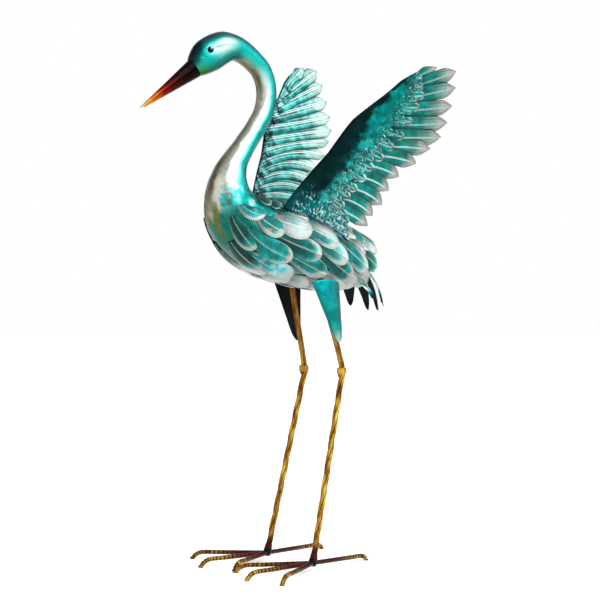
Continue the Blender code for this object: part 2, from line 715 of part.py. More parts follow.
def make_foot(side, sign, root):
    """Hub and four toes, welded into one."""
    ankle, knee = mirrored(ANKLE, sign), mirrored(KNEE, sign)
    way = (knee - Vector((0, 0, KNEE_STRAIGHT)) - ankle).normalized()
    across = way.cross(Vector((0, 1, 0))).normalized()
    other = way.cross(across).normalized()
    bm = bmesh.new()
    rings = []
    hub_rings = [(lift, HUB_RADIUS * share) for lift, share in HUB_RINGS]
    for lift, radius in hub_rings + [(HUB_HEIGHT, LEG_RADIUS)]:
        ring = []
        for k in range(12):
            a = math.tau * k / 12
            round_way = across * math.cos(a) + other * math.sin(a)
            ring.append(bm.verts.new(ankle + way * lift + round_way * radius))
        rings.append(ring)
    bridge_rings(bm, rings)
    foot = new_object(side + "_foot", bm, root, ("gold_paint", GOLD))
    for number, (angle, length, bend) in enumerate(TOES[side]):
        line = toe_points(math.radians(angle), length, bend, ankle)
        bm = bmesh.new()
        rings = []
        sides = 8
        for i, centre in enumerate(line):
            ahead = line[min(i + 1, len(line) - 1)] - line[max(i - 1, 0)]
            ahead.normalize()
            flat = ahead.cross(Vector((0, 0, 1))).normalized()
            upward = flat.cross(ahead).normalized()
            ring = []
            for k in range(sides):
                a = math.tau * (k + 0.5) / sides
                place = centre + flat * (TOE_RADIUS * math.cos(a)) + upward * (TOE_RADIUS * math.sin(a))
                if i == len(line) - 1:
                    place.z = 0.0
                ring.append(bm.verts.new(place))
            rings.append(ring)
        bridge_rings(bm, rings)
        toe = new_object(f"{side}_toe_{number + 1}", bm, root, ("gold_paint", GOLD))
        toe.hide_render = True
        toe.display_type = "WIRE"
        join = foot.modifiers.new(f"toe_{number + 1}", "BOOLEAN")
        join.operation = "UNION"
        join.solver = "EXACT"
        join.object = toe


def centre_on_ground(root):
    """Slides the statue so that the origin is under the middle of its bounding box."""
    bpy.context.view_layer.update()
    corners = [
        obj.matrix_world @ Vector(corner)
        for obj in bpy.context.scene.objects if obj.type == "MESH" and not obj.hide_render
        for corner in obj.bound_box
    ]
    for axis in (0, 1):
        low = min(corner[axis] for corner in corners)
        high = max(corner[axis] for corner in corners)
        root.location[axis] = -(low + high) / 2


for old in list(bpy.data.objects):
    bpy.data.objects.remove(old)

statue = bpy.data.objects.new("crane", None)
bpy.context.scene.collection.objects.link(statue)
make_shell(statue)
make_bill(statue)
make_eyes(statue)
make_coat(statue)
make_wings(statue)
make_tail(statue)
make_legs(statue)
centre_on_ground(statue)
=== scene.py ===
import bisect
import functools
import math
import random

import bmesh
import bpy
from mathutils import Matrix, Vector, noise


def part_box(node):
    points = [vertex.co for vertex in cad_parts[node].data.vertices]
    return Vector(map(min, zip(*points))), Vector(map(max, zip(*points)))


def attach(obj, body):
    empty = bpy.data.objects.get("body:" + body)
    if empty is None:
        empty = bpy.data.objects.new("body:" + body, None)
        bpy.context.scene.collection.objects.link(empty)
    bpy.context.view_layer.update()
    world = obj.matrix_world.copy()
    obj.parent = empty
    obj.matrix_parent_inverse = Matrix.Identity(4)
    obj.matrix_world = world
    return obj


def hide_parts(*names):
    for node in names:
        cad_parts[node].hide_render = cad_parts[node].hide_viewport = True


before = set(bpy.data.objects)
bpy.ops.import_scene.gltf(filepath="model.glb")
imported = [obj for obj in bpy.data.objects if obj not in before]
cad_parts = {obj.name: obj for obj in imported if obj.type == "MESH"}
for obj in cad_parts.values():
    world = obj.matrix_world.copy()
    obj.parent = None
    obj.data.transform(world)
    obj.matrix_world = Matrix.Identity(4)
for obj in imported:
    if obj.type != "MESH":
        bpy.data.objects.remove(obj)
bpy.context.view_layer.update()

# HEAD, NECK AND BODY
# One hollow shell of thin steel, pressed in halves, welded along the middle and hammered smooth.
# It is sprayed pearl silver, then teal down the back and over the head, with an olive shade in front.

# Each row is the section's centre x and z, the way the shell runs there in degrees, half the
# section's depth and half its width, from the bill's root to the rump.
SHELL = (
    (-0.2123, 0.9054, 38, 0.0152, 0.0140), (-0.2035, 0.9140, 38, 0.0232, 0.0205),
    (-0.1835, 0.9305, 34, 0.0308, 0.0272), (-0.1520, 0.9470, 14, 0.0300, 0.0272),
    (-0.1263, 0.9502, -5, 0.0240, 0.0232), (-0.1047, 0.9432, -27, 0.0212, 0.0208),
    (-0.0825, 0.9290, -42, 0.0198, 0.0198), (-0.0660, 0.9140, -57, 0.0194, 0.0194),
    (-0.0556, 0.8921, -76, 0.0190, 0.0190), (-0.0530, 0.8700, -91, 0.0186, 0.0186),
    (-0.0563, 0.8500, -104, 0.0185, 0.0185), (-0.0642, 0.8290, -116, 0.0187, 0.0187),
    (-0.0765, 0.8100, -124, 0.0190, 0.0190), (-0.0920, 0.7885, -127, 0.0196, 0.0200),
    (-0.1100, 0.7650, -125, 0.0212, 0.0225), (-0.1245, 0.7441, -118, 0.0249, 0.0262),
    (-0.1340, 0.7246, -107, 0.0300, 0.0320), (-0.1385, 0.7042, -95, 0.0358, 0.0390),
    (-0.1375, 0.6854, -82, 0.0423, 0.0470), (-0.1320, 0.6645, -66, 0.0490, 0.0550),
    (-0.1190, 0.6457, -50, 0.0565, 0.0620), (-0.0930, 0.6250, -33, 0.0650, 0.0685),
    (-0.0540, 0.6100, -20, 0.0715, 0.0725), (-0.0142, 0.6005, -13, 0.0738, 0.0735),
    (0.0320, 0.5900, -12, 0.0730, 0.0720), (0.0803, 0.5795, -11, 0.0680, 0.0660),
)
LINES = {
    "shell": SHELL + (
        (0.1240, 0.5715, -9, 0.0530, 0.0520), (0.1470, 0.5680, -8, 0.0370, 0.0360),
        (0.1600, 0.5660, -8, 0.0180, 0.0180),
    ),
    "coat": SHELL + (
        (0.1271, 0.5700, -11, 0.0590, 0.0570), (0.1750, 0.5600, -14, 0.0470, 0.0440),
        (0.2250, 0.5460, -16, 0.0340, 0.0300),
    ),
}
KNEE = (0.0766, 0.0580, 0.3625)
SIDES = (("left", 1), ("right", -1))
collar_low, collar_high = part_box("left_knee_collar")
# From the bird's own middle, between its ankles, to where the statue stands
STAND = Vector((
    (collar_low.x + collar_high.x) / 2 - KNEE[0], (collar_low.y + collar_high.y) / 2 + KNEE[1], 0,
))


class Paint:
    """A material being mixed, or one number or colour in it."""

    def __init__(self, tree, socket=None):
        self.tree = tree
        self.socket = socket

    def node(self, kind, settings, sockets, out=0):
        """One node: its settings first, then a value or a link for each socket named."""
        made = self.tree.nodes.new(kind)
        for name, value in settings.items():
            if name == "stops":
                while len(made.color_ramp.elements) < len(value):
                    made.color_ramp.elements.new(0.5)
                for element, (place, colour) in zip(made.color_ramp.elements, value):
                    element.position = place
                    element.color = (*colour, 1)
            else:
                setattr(made, name, value)
        for name, value in sockets.items():
            if isinstance(value, Paint):
                self.tree.links.new(value.socket, made.inputs[name])
            else:
                made.inputs[name].default_value = value
        return Paint(self.tree, made.outputs[out])

    def reckon(self, how, first, second=0.0):
        return self.node("ShaderNodeMath", {"operation": how}, {0: first, 1: second})

    def __add__(self, other):
        return self.reckon("ADD", self, other)

    __radd__ = __add__

    def __sub__(self, other):
        return self.reckon("SUBTRACT", self, other)

    def __rsub__(self, other):
        return self.reckon("SUBTRACT", other, self)

    def __mul__(self, other):
        return self.reckon("MULTIPLY", self, other)

    def abs(self):
        return self.reckon("ABSOLUTE", self)

    def wave(self):
        """0 to 1 and back over each whole number."""
        return self.reckon("SINE", self * math.tau) * 0.5 + 0.5

    def rise(self, start, end):
        """0 below start, 1 above end, smooth between."""
        smooth = {"interpolation_type": "SMOOTHSTEP"}
        return self.node("ShaderNodeMapRange", smooth, {0: self, 1: start, 2: end})

    def band(self, start, peak, end):
        """1 at the peak, 0 outside start and end."""
        return self.rise(start, peak) * (1 - self.rise(peak, end))

    def over(self, colour, under):
        """A colour laid over another where this mask is 1."""
        under, colour = (tone if isinstance(tone, Paint) else (*tone, 1) for tone in (under, colour))
        return self.node("ShaderNodeMix", {"data_type": "RGBA"}, {0: self, 6: under, 7: colour}, 2)

    def coats(self, *layers):
        """This colour with others laid over it in turn, each a mask and its colour."""
        colour = self
        for mask, tone in layers:
            colour = mask.over(tone, colour)
        return colour

    def ramp(self, stops):
        return self.node("ShaderNodeValToRGB", {"stops": stops}, {0: self})

    def uv(self):
        place = self.node("ShaderNodeTexCoord", {}, {}, 2)
        across = self.node("ShaderNodeSeparateXYZ", {}, {0: place})
        return across, Paint(self.tree, across.socket.node.outputs[1])

    def reach(self):
        """0 along the middle of a sheet and 1 at its edges."""
        return (self.uv()[0] * 2 - 1).abs()

    def mark(self, name):
        """A number that the piece's own mesh carries."""
        return self.node("ShaderNodeAttribute", {"attribute_name": name}, {}, 2)

    def cloud(self, size, detail=3.0, stretch=None):
        """Soft noise, 0 to 1, in blotches of about this size in metres."""
        at = self.node("ShaderNodeTexCoord", {}, {}, 3)
        if stretch:
            at = self.node("ShaderNodeMapping", {}, {0: at, 3: stretch})
        return self.node("ShaderNodeTexNoise", {}, {"Vector": at, "Scale": 1 / size, "Detail": detail})


def mixed_paint(name, recipe, more=None):
    """A paint. Its recipe gives colour, metal, roughness and, where pressed, relief and depth."""
    made = bpy.data.materials.new(name)
    made.use_nodes = True
    tree = made.node_tree
    shader = tree.nodes["Principled BSDF"]
    paint = Paint(tree)
    colour, metal, rough, *relief = recipe(paint)
    look = {"Base Color": colour, "Metallic": metal, "Roughness": rough, "Specular IOR Level": 0.25}
    look.update(more or {})
    if relief:
        sockets = {"Height": relief[0], "Distance": relief[1], "Strength": 1.0}
        look["Normal"] = paint.node("ShaderNodeBump", {}, sockets)
    for socket, value in look.items():
        if isinstance(value, Paint):
            tree.links.new(value.socket, shader.inputs[socket])
        else:
            shader.inputs[socket].default_value = value
    return made


def on_smooth_curve(a, b, c, d, f):
    """Share f of the way from b to c, where the curve comes from a and goes on to d."""
    bend, twist = 2 * a - 5 * b + 4 * c - d, 3 * b - a - 3 * c + d
    return 0.5 * (2 * b + (c - a) * f + bend * f * f + twist * f ** 3)


@functools.lru_cache(maxsize=None)
def read_line(line, t):
    """The shell's row at place t, on a smooth curve through its rows."""
    rows = LINES[line]
    last = len(rows) - 1
    i = max(0, min(last - 1, int(math.floor(t))))
    f = t - i
    near = (rows[max(0, i - 1)], rows[i], rows[i + 1], rows[min(last, i + 2)])
    return tuple(on_smooth_curve(*values, f) for values in zip(*near))


def on_section(line, t, turn, side):
    x, z, run, deep, wide = read_line(line, t)
    run = math.radians(run)
    up = deep * math.cos(turn)
    return Vector((x - math.sin(run) * up, -side * wide * math.sin(turn), z + math.cos(run) * up))


def skin_normal(line, t, angle, side=1):
    turn = math.radians(angle)
    along = on_section(line, t + 0.02, turn, side) - on_section(line, t - 0.02, turn, side)
    across = on_section(line, t, turn + 0.02, side) - on_section(line, t, turn - 0.02, side)
    return across.cross(along).normalized() * side


def skin_point(line, t, angle, side=1, lift=0.0):
    """A place on the shell: t rows along it, angle round from the back line, lift off it."""
    place = on_section(line, t, math.radians(angle), side)
    return place + skin_normal(line, t, angle, side) * lift if lift else place


def bend_grid(bm, across, along, place, marks=None, closed=False):
    """Adds a flat grid with its own UVs and bends it: place(u, v) says where each corner goes."""
    bm.loops.layers.uv.verify()
    floats = bm.verts.layers.float
    layers = [(floats.get(name) or floats.new(name), value) for name, value in (marks or {}).items()]
    grid = bmesh.ops.create_grid(bm, x_segments=across, y_segments=along, size=0.5, calc_uvs=True)
    corners = grid["verts"]
    for corner in corners:
        u, v = corner.co.x + 0.5, corner.co.y + 0.5
        for layer, value in layers:
            corner[layer] = value(u, v) if callable(value) else value
        corner.co = place(u, v)
    if closed:
        bmesh.ops.remove_doubles(bm, verts=corners, dist=1e-6)


def close_ends(bm):
    """Closes the open ends of a tube."""
    bmesh.ops.holes_fill(bm, edges=[edge for edge in bm.edges if edge.is_boundary], sides=0)


def in_scene(name, data):
    made = bpy.data.objects.new(name, data)
    bpy.context.scene.collection.objects.link(made)
    return made


def set_in_place(name, bm, nodes, finishes, sheet=0.0, out=None, sharp=50):
    """Makes the piece, faces outwards, in the place of the plain solids that it stands for."""
    bmesh.ops.translate(bm, verts=bm.verts, vec=STAND)
    if out is None:
        bmesh.ops.recalc_face_normals(bm, faces=bm.faces)
    elif sum((face.normal_update() or face.normal.dot(out)) * face.calc_area() for face in bm.faces) < 0:
        bmesh.ops.reverse_faces(bm, faces=bm.faces)
    mesh = bpy.data.meshes.new(name)
    bm.to_mesh(mesh)
    bm.free()
    made = in_scene(name, mesh)
    for finish in finishes:
        mesh.materials.append(finish)
    mesh.shade_smooth()
    mesh.set_sharp_from_angle(angle=math.radians(sharp))
    if sheet:
        wall = made.modifiers.new("sheet", "SOLIDIFY")
        wall.thickness = sheet
        wall.offset = -1
        wall.material_offset = len(finishes) - 1
    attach(made, "root")
    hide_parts(*nodes)


def shell_recipe(paint):
    turn, length = paint.uv()
    # 0 along the back line and 1 along the front or belly line
    round_from_back = 1 - (turn * 2 - 1).abs()
    wander = paint.cloud(0.03) - 0.5
    edge = round_from_back + wander * 0.20
    place = length + wander * 0.02
    blotch = paint.cloud(0.016, 4.0)
    drift = blotch - 0.5
    upper_neck = edge.ramp((
        (0.0, (0.0, 0.035, 0.04)), (0.22, (0.0, 0.12, 0.12)), (0.45, (0.0, 0.34, 0.31)),
        (0.60, (0.01, 0.38, 0.33)), (0.72, (0.05, 0.27, 0.21)), (0.82, (0.26, 0.27, 0.19)),
        (0.93, (0.13, 0.11, 0.055)),
    ))
    head_teal = edge.ramp((
        (0.0, (0.0, 0.010, 0.012)), (0.12, (0.0, 0.045, 0.050)), (0.30, (0.0, 0.24, 0.23)),
        (0.50, (0.0, 0.36, 0.32)), (0.68, (0.0, 0.18, 0.15)), (1.0, (0.0, 0.075, 0.05)),
    ))
    breast_teal = blotch.ramp((
        (0.32, (0.0, 0.065, 0.055)), (0.47, (0.0, 0.20, 0.17)), (0.57, (0.0, 0.40, 0.40)),
        (0.68, (0.42, 0.60, 0.57)),
    ))
    breast = (place + drift * 0.14).rise(0.600, 0.645) * edge.rise(0.24, 0.36)
    # The band behind the eye that takes the painted highlight
    eye_highlight_band = (round_from_back + wander * 0.08).band(0.24, 0.42, 0.66)
    # Distance from the line of painted shade that runs back from the eye
    eye_shade_line = (round_from_back - (length * 2.1 + 0.228)).abs()
    colour = edge.ramp((
        (0.0, (0.0, 0.055, 0.055)), (0.24, (0.0, 0.15, 0.14)), (0.40, (0.0, 0.29, 0.26)),
        (0.50, (0.02, 0.42, 0.39)), (0.60, (0.36, 0.58, 0.54)), (0.71, (0.60, 0.64, 0.60)),
        (0.82, (0.55, 0.55, 0.49)), (0.95, (0.34, 0.32, 0.24)),
    )).coats(
        # The upper neck, painted shade in dark olive on its inner curve, the head, its forehead and its
        # cheek
        (1 - place.rise(0.21, 0.31), upper_neck),
        (place.band(0.19, 0.27, 0.40) * edge.band(0.68, 0.88, 1.20) * 0.95, (0.040, 0.036, 0.006)),
        (1 - place.rise(0.135, 0.185), head_teal),
        ((1 - place.rise(0.020, 0.085)) * (1 - edge.rise(0.22, 0.64)) * 0.95, (0.0, 0.010, 0.007)),
        ((1 - place.rise(0.015, 0.065)) * edge.rise(0.35, 0.70) * 0.9, (0.030, 0.15, 0.0)),
        # Breast: blotches of teal, deep teal below them, an olive streak and a dark front line
        (breast * (1 - edge.rise(0.78, 0.88)) * 0.95, breast_teal),
        ((place + drift * 0.08).rise(0.655, 0.695) * edge.rise(0.40, 0.60), (0.0, 0.105, 0.075)),
        ((place + drift * 0.06).band(0.635, 0.680, 0.735) * edge.band(0.83, 0.91, 0.99),
         (0.10, 0.105, 0.003)),
        (place.band(0.50, 0.61, 0.70) * edge.rise(0.90, 0.98) * 0.85, (0.045, 0.042, 0.012)),
        # Behind the eye a painted highlight of pale teal, with a thin dark line of painted shade running
        # back through it
        (length.band(0.056, 0.100, 0.150) * eye_highlight_band * 0.85, (0.62, 0.82, 0.80)),
        ((1 - eye_shade_line.rise(0.008, 0.030)) * length.band(0.064, 0.085, 0.142) * 0.85, (0.0, 0.13, 0.13)),
        # Belly, its underside painted near black as the shade beneath it, and the back
        (place.rise(0.72, 0.80) * edge.rise(0.70, 0.90), (0.38, 0.40, 0.38)),
        (place.rise(0.76, 0.84) * edge.rise(0.90, 0.97), (0.004, 0.004, 0.004)),
        (place.rise(0.66, 0.74) * (1 - edge.rise(0.20, 0.40)) * 0.85, (0.0, 0.040, 0.035)),
    )
    relief = paint.cloud(0.009, 2.0) + paint.cloud(0.003, 2.0) * 0.10
    return colour, 0.85, 0.29 + paint.cloud(0.006, 4.0) * 0.12, relief, 0.0010


shell_paint = mixed_paint("shell_paint", shell_recipe, {"Coat Weight": 0.05, "Coat Roughness": 0.15})
SHELL_END = len(LINES["shell"]) - 1


def shell_place(u, v):
    t = v * SHELL_END
    angle = 360 * u
    place = skin_point("shell", t, angle)
    # Soft dents of the hammer, deeper on the neck's front and the breast
    worked = min(1.0, max(0.0, (t - 5) / 6)) * 0.0008
    dent = noise.noise(place * 55) * worked + noise.noise(place * 140) * worked * 0.35
    return place + skin_normal("shell", t, angle) * (dent - 0.0002)


bm = bmesh.new()
bend_grid(bm, 72, 260, shell_place, closed=True)
close_ends(bm)
set_in_place("shell_skin", bm, ["head_neck_and_body"], [shell_paint])

# BILL
# Two tapered halves of folded sheet, welded to the head with a fine seam between them.
# They are sprayed maroon at the root, red and then orange, and left pale at the tip.
BILL_LENGTH = 0.133
BILL_DROP = math.radians(35)
BILL_ROOT = (0.0156, 0.0134)
BILL_TIP = 0.0013
BILL_SEAM = 0.0002
BILL_HALVES = (("upper", 1, 1.0), ("lower", -1, 0.95))


def bill_recipe(paint):
    worn = paint.uv()[1] + (paint.cloud(0.012) - 0.5) * 0.12
    colour = worn.ramp((
        (0.0, (0.0015, 0.0005, 0.0005)), (0.30, (0.010, 0.001, 0.001)), (0.48, (0.050, 0.002, 0.001)),
        (0.62, (0.14, 0.008, 0.001)), (0.76, (0.36, 0.070, 0.003)), (0.91, (0.46, 0.18, 0.02)),
        (1.0, (0.42, 0.30, 0.15)),
    ))
    relief = paint.cloud(0.010, 3.0, stretch=(1, 3, 1))
    return colour, 0.6, 0.26 + paint.cloud(0.004) * 0.12, relief, 0.0006


bill_paint = mixed_paint("bill_paint", bill_recipe, {"Specular IOR Level": 0.06})
bill_x, bill_z = SHELL[0][0], SHELL[0][1]
forward = Vector((-math.cos(BILL_DROP), 0, -math.sin(BILL_DROP)))
upward = Vector((-math.sin(BILL_DROP), 0, math.cos(BILL_DROP)))
bill_root = Vector((bill_x, 0, bill_z)) + forward * -0.002


def bill_place(sign, share):
    def place(u, v):
        taper = 1 - v * share
        deep = BILL_TIP + (BILL_ROOT[0] - BILL_TIP) * taper ** 1.02
        wide = BILL_TIP + (BILL_ROOT[1] - BILL_TIP) * taper
        # The last rows round the tip over
        close = math.sqrt(max(0.0, 1 - max(0.0, (v - 0.97) / 0.03) ** 2))
        turn = math.tau * u
        lift = math.sin(turn)
        # The flat of the mouth is the lower half of the turn, drawn nearly flat
        height = deep * lift if lift > 0 else deep * 0.10 * lift
        ridge = 0.0005 * math.exp(-((turn - math.pi / 2) / 0.25) ** 2)
        centre = bill_root + forward * ((BILL_LENGTH + 0.0036) * share * v)
        return (centre + upward * (sign * (BILL_SEAM + (height + deep * 0.10 + ridge) * close))
                + Vector((0, wide * math.cos(turn) * close, 0)))
    return place


for half, sign, share in BILL_HALVES:
    bm = bmesh.new()
    bend_grid(bm, 40, 80, bill_place(sign, share), closed=True)
    close_ends(bm)
    set_in_place("bill_" + half + "_half", bm, ["bill_" + half], [bill_paint])

# EYES
# A round glossy black bead is set into each side of the head, with a painted white glint on its top.
EYE_PLACE = (1.92, 68)
EYE_RADIUS = 0.0058
EYE_FLATNESS = 0.75
GLINT_TOWARDS = Vector((0.22, 0, 0.42))


def eye_recipe(paint):
    black = paint.cloud(0.003).ramp(((0.0, (0.002, 0.002, 0.002)), (1.0, (0.008, 0.008, 0.008))))
    # The near-white spot towards the top of the bead is a painted glint
    return paint.mark("dab").rise(0.35, 0.60).over((0.95, 0.97, 0.97), black), 0.0, 0.07


eye_bead = mixed_paint("eye_bead", eye_recipe, {"Specular IOR Level": 0.12})
for side, sign in SIDES:
    seat = skin_point("shell", *EYE_PLACE, sign)
    out = skin_normal("shell", *EYE_PLACE, sign)
    bm = bmesh.new()
    bmesh.ops.create_uvsphere(bm, u_segments=32, v_segments=20, radius=EYE_RADIUS)
    bmesh.ops.scale(bm, verts=bm.verts, vec=(1, 1, EYE_FLATNESS))
    bmesh.ops.rotate(bm, verts=bm.verts, matrix=out.to_track_quat("Z", "Y").to_matrix())
    # Mask of the painted glint, strongest up and back from the bead's middle
    dab = bm.verts.layers.float.new("dab")
    for vert in bm.verts:
        vert[dab] = 1 - (vert.co.normalized() - (out + GLINT_TOWARDS).normalized()).length / 0.5
    bmesh.ops.translate(bm, verts=bm.verts, vec=seat + out * 0.0004)
    set_in_place(side + "_eye_bead", bm, [side + "_eye"], [eye_bead])

# BODY FEATHERS
# Cut steel feathers, each stamped with a double rib, fine barbs and a turned-up rim, are welded
# over the shell in three rows a side like tiles. They are teal in the middle and silver at the rim.

# Each feather: its tip's distance along the body, the tip's angle round, its length and width,
# then how much of it is teal, how white its silver is, how deep the painted shade at its root is,
# and how much more silver there is below its rib than above.
COAT_ROWS = (
    ((0.050, 80, 0.040, 0.032, 0.74, 0.7, -0.5, 1.0), (0.098, 88, 0.062, 0.034, 0.68, 0.8, 0.1, 0.9),
     (0.157, 74, 0.092, 0.043, 0.10, 1.0, 0.0, 0.2), (0.222, 80, 0.094, 0.036, 0.33, 1.0, 0.0, -0.6),
     (0.300, 78, 0.042, 0.034, 0.30, 0.8, 0.0, 0.0), (0.340, 96, 0.044, 0.032, 0.70, 0.4, 0.4, 0.0)),
    ((0.073, 130, 0.052, 0.034, 0.72, 0.3, 0.8, 0.3), (0.131, 118, 0.085, 0.038, 0.82, 0.4, 0.2, 0.3),
     (0.187, 102, 0.094, 0.038, 0.72, 0.3, 0.7, -0.2), (0.252, 98, 0.096, 0.037, 0.44, 0.8, 0.0, -0.3),
     (0.311, 103, 0.092, 0.036, 0.60, 0.6, 0.1, 0.0)),
    ((0.104, 154, 0.056, 0.042, 0.70, 0.1, 1.0, 0.0), (0.152, 142, 0.075, 0.037, 0.46, 0.5, -1.0, 0.3),
     (0.214, 125, 0.092, 0.036, 0.76, 0.9, 0.2, 1.0), (0.280, 122, 0.092, 0.036, 0.80, 0.4, 0.6, 0.0)),
)
COAT_FRONT = 18.3
COAT_SKEW = 200.0
COAT_SKEW_START = 0.160
FIRST_SKEW = -26.0
COAT_GAP = 0.0015
COAT_SLOPE = 0.066
FEATHER_SHEET = 0.0008
RIB_PLACE = 0.09
BARB_PITCH = 0.0026
STATIONS = 40


def distances(line, start):
    """Distance along a line from the start place, at so many stations a row."""
    total = 0.0
    table = [0.0]
    for i in range((len(LINES[line]) - 1) * STATIONS):
        a, b = read_line(line, i / STATIONS), read_line(line, (i + 1) / STATIONS)
        total += math.hypot(b[0] - a[0], b[1] - a[1])
        table.append(total)
    origin = table[int(start * STATIONS)]
    return [distance - origin for distance in table]


COAT_TABLE = distances("coat", COAT_FRONT)


@functools.lru_cache(maxsize=None)
def coat_station(distance):
    i = max(1, min(len(COAT_TABLE) - 1, bisect.bisect(COAT_TABLE, distance)))
    return (i - 1 + (distance - COAT_TABLE[i - 1]) / (COAT_TABLE[i] - COAT_TABLE[i - 1])) / STATIONS


def feather_recipe(paint):
    across, along = paint.uv()
    below = across * 2 - 1
    reach = below.abs()
    teal, white, root, split = (paint.mark(name) for name in ("teal", "white", "root", "split"))
    cloud = paint.cloud(0.018)
    fine = paint.cloud(0.004, 4.0)
    streak = paint.mark("barb").wave()
    # How deep in from the rim and back from the tip a place lies
    inside = 0.73 - reach.rise(0.55, 1.0) * 0.34 - along.rise(0.45, 1.0) * 0.70 + (cloud - 0.5) * 0.8
    mask = inside + (streak - 0.5) * 0.22 - (1 - teal) * 0.95 - split * below * 0.50
    silver = white.over((0.66, 0.70, 0.68), (0.30, 0.30, 0.24)).coats(
        (cloud.rise(0.44, 0.64) * white * 0.55, (0.30, 0.62, 0.62)),
        (streak * 0.55, (0.13, 0.155, 0.135)),
    )
    bright = cloud.ramp((
        (0.34, (0.0, 0.24, 0.30)), (0.52, (0.0, 0.50, 0.58)), (0.64, (0.40, 0.68, 0.72)),
    ))
    core = cloud.ramp((
        (0.28, (0.0, 0.065, 0.055)), (0.48, (0.0, 0.19, 0.165)), (0.70, (0.0, 0.42, 0.39)),
    )).coats(((root * -1).rise(0.2, 0.9), bright), (streak * 0.35, (0.0, 0.05, 0.045)))
    short_of_tip = 1 - along.rise(0.80, 0.93)
    rib = reach.band(RIB_PLACE - 0.055, RIB_PLACE, RIB_PLACE + 0.055)
    colour = mask.rise(-0.12, 0.14).over(core, silver).coats(
        # Painted shade at the root and the shadow of the feather before, line inside the rim, rim,
        # painted highlight on the rib and painted shade in its middle groove
        (root.rise(0.0, 1.0) * (1 - along.rise(0.42, 0.84)) * (1 - reach.rise(0.60, 1.0)),
         (0.0, 0.014, 0.008)),
        ((1 - along.rise(0.18, 0.62)) * 0.62, (0.0, 0.040, 0.038)),
        (reach.band(0.84, 0.90, 0.95) * (1 - along.rise(0.92, 0.99)) * 0.35, (0.01, 0.06, 0.06)),
        (reach.rise(0.955, 0.985) * along.rise(0.3, 0.6) * 0.5, (0.62, 0.66, 0.62)),
        (rib * short_of_tip * 0.6, (0.66, 0.80, 0.76)),
        ((1 - reach.rise(0.015, 0.06)) * short_of_tip * 0.9, (0.0, 0.025, 0.025)),
    )
    return colour, 0.80, 0.26 + fine * 0.20, streak * 0.7 + fine * 0.4, 0.0006


def back_recipe(paint):
    black = paint.cloud(0.02).ramp(((0.3, (0.0015, 0.002, 0.0025)), (0.7, (0.004, 0.008, 0.010))))
    return black, 0.2, 0.42 + paint.cloud(0.006) * 0.2, paint.cloud(0.003), 0.0003


feather_coat = {"Coat Weight": 0.10, "Coat Roughness": 0.12}
feather_paint = mixed_paint("feather_paint", feather_recipe, feather_coat)
feather_back = mixed_paint("feather_back", back_recipe, {"Specular IOR Level": 0.12})
FEATHER_SIDES = [feather_paint, feather_back]


def rounded_outline(v, root=0.48):
    """Half width of a rounded feather at share v of its length, as a share of its widest."""
    if v < 0.60:
        return root + (1 - root) * math.sin(math.pi / 2 * v / 0.60) ** 1.2
    return max(0.0, 1 - ((v - 0.60) / 0.40) ** 2.6) ** 0.5


def stamped(reach, v, barb):
    """Relief pressed into a feather: its crown, turned-up rim, double rib and barbs."""
    fade = min(1.0, max(0.0, (0.93 - v) / 0.12))
    crown = 0.0016 * (1 - reach * reach)
    rim = 0.0003 * max(0.0, (reach - 0.88) / 0.12) ** 0.7
    rib = 0.0006 * math.exp(-((reach - RIB_PLACE) / 0.05) ** 2) * fade
    barbs = 0.00014 * math.sin(math.tau * barb) * min(1.0, max(0.0, (reach - 0.15) / 0.1))
    return crown + rim + rib + barbs


def coat_feather(bm, tip, angle, length, width, side, tones, lift=0.0, slope=COAT_SLOPE, grid=(28, 64)):
    """One stamped feather that follows the body and lifts towards its tip."""
    teal, white, root, split = tones
    skew = COAT_SKEW * max(0.0, tip - COAT_SKEW_START) * length / 0.092 if tip > 0.05 else FIRST_SKEW

    def barb(u, v):
        return (length * v - abs(2 * u - 1) * width * 0.30) / BARB_PITCH

    def place(u, v):
        share = 1 - (1 - v) ** 1.35
        s = 2 * u - 1
        reach = math.copysign(abs(s) ** 1.35, s)
        distance = round(tip - length * (1 - share), 5)
        deep, wide = read_line("coat", coat_station(distance))[3:5]
        turn = math.degrees(width * rounded_outline(share) / (deep + wide)) * reach
        height = COAT_GAP + slope * share * length + stamped(abs(reach), share, barb(u, share)) + lift
        return skin_point("coat", coat_station(distance), angle - skew * (1 - share) + turn, side, height)

    marks = {"teal": teal, "white": white, "root": root, "split": split, "barb": barb}
    bend_grid(bm, *grid, place, marks)


for side, sign in SIDES:
    for r, row in enumerate(COAT_ROWS, 1):
        for n, (tip, angle, length, width, *tones) in enumerate(row, 1):
            bm = bmesh.new()
            slope = COAT_SLOPE * (0.5 if r > 1 and n == 1 else 1.0)
            coat_feather(bm, tip, angle, length, width, sign, tones, slope=slope)
            out = skin_normal("coat", coat_station(tip - length / 2), angle, sign)
            set_in_place(
                f"{side}_feather_{r}_{n}", bm, [f"{side}_body_feather_{r}_{n}"],
                FEATHER_SIDES, FEATHER_SHEET, out,
            )

# BELLY AND MANTLE FEATHERS
# Small silver feathers close the belly below the rows, and dark green ones cover the back
# between the wings. They are stamped like the others and welded closer to the shell.
random.seed(7)
SMALL_LENGTH = 0.060
SMALL_LIFT = -0.0012
SMALL_SLOPE = 0.030
BELLY_TONES = (0.05, 0.5, 0.0, 0.0)
BELLY_FEATHERS = (
    (0.118, 161), (0.162, 162), (0.206, 161), (0.250, 160), (0.290, 158), (0.240, 146), (0.276, 144),
    (0.308, 141), (0.336, 134),
)
for side, sign in SIDES:
    bm = bmesh.new()
    for tip, angle in BELLY_FEATHERS:
        coat_feather(
            bm, tip, angle, SMALL_LENGTH, 0.046, sign, BELLY_TONES, SMALL_LIFT, SMALL_SLOPE, (20, 40),
        )
    set_in_place(
        side + "_belly_feather_row", bm, [side + "_belly_feathers"],
        FEATHER_SIDES, FEATHER_SHEET, Vector((0, 0, -1)),
    )
bm = bmesh.new()
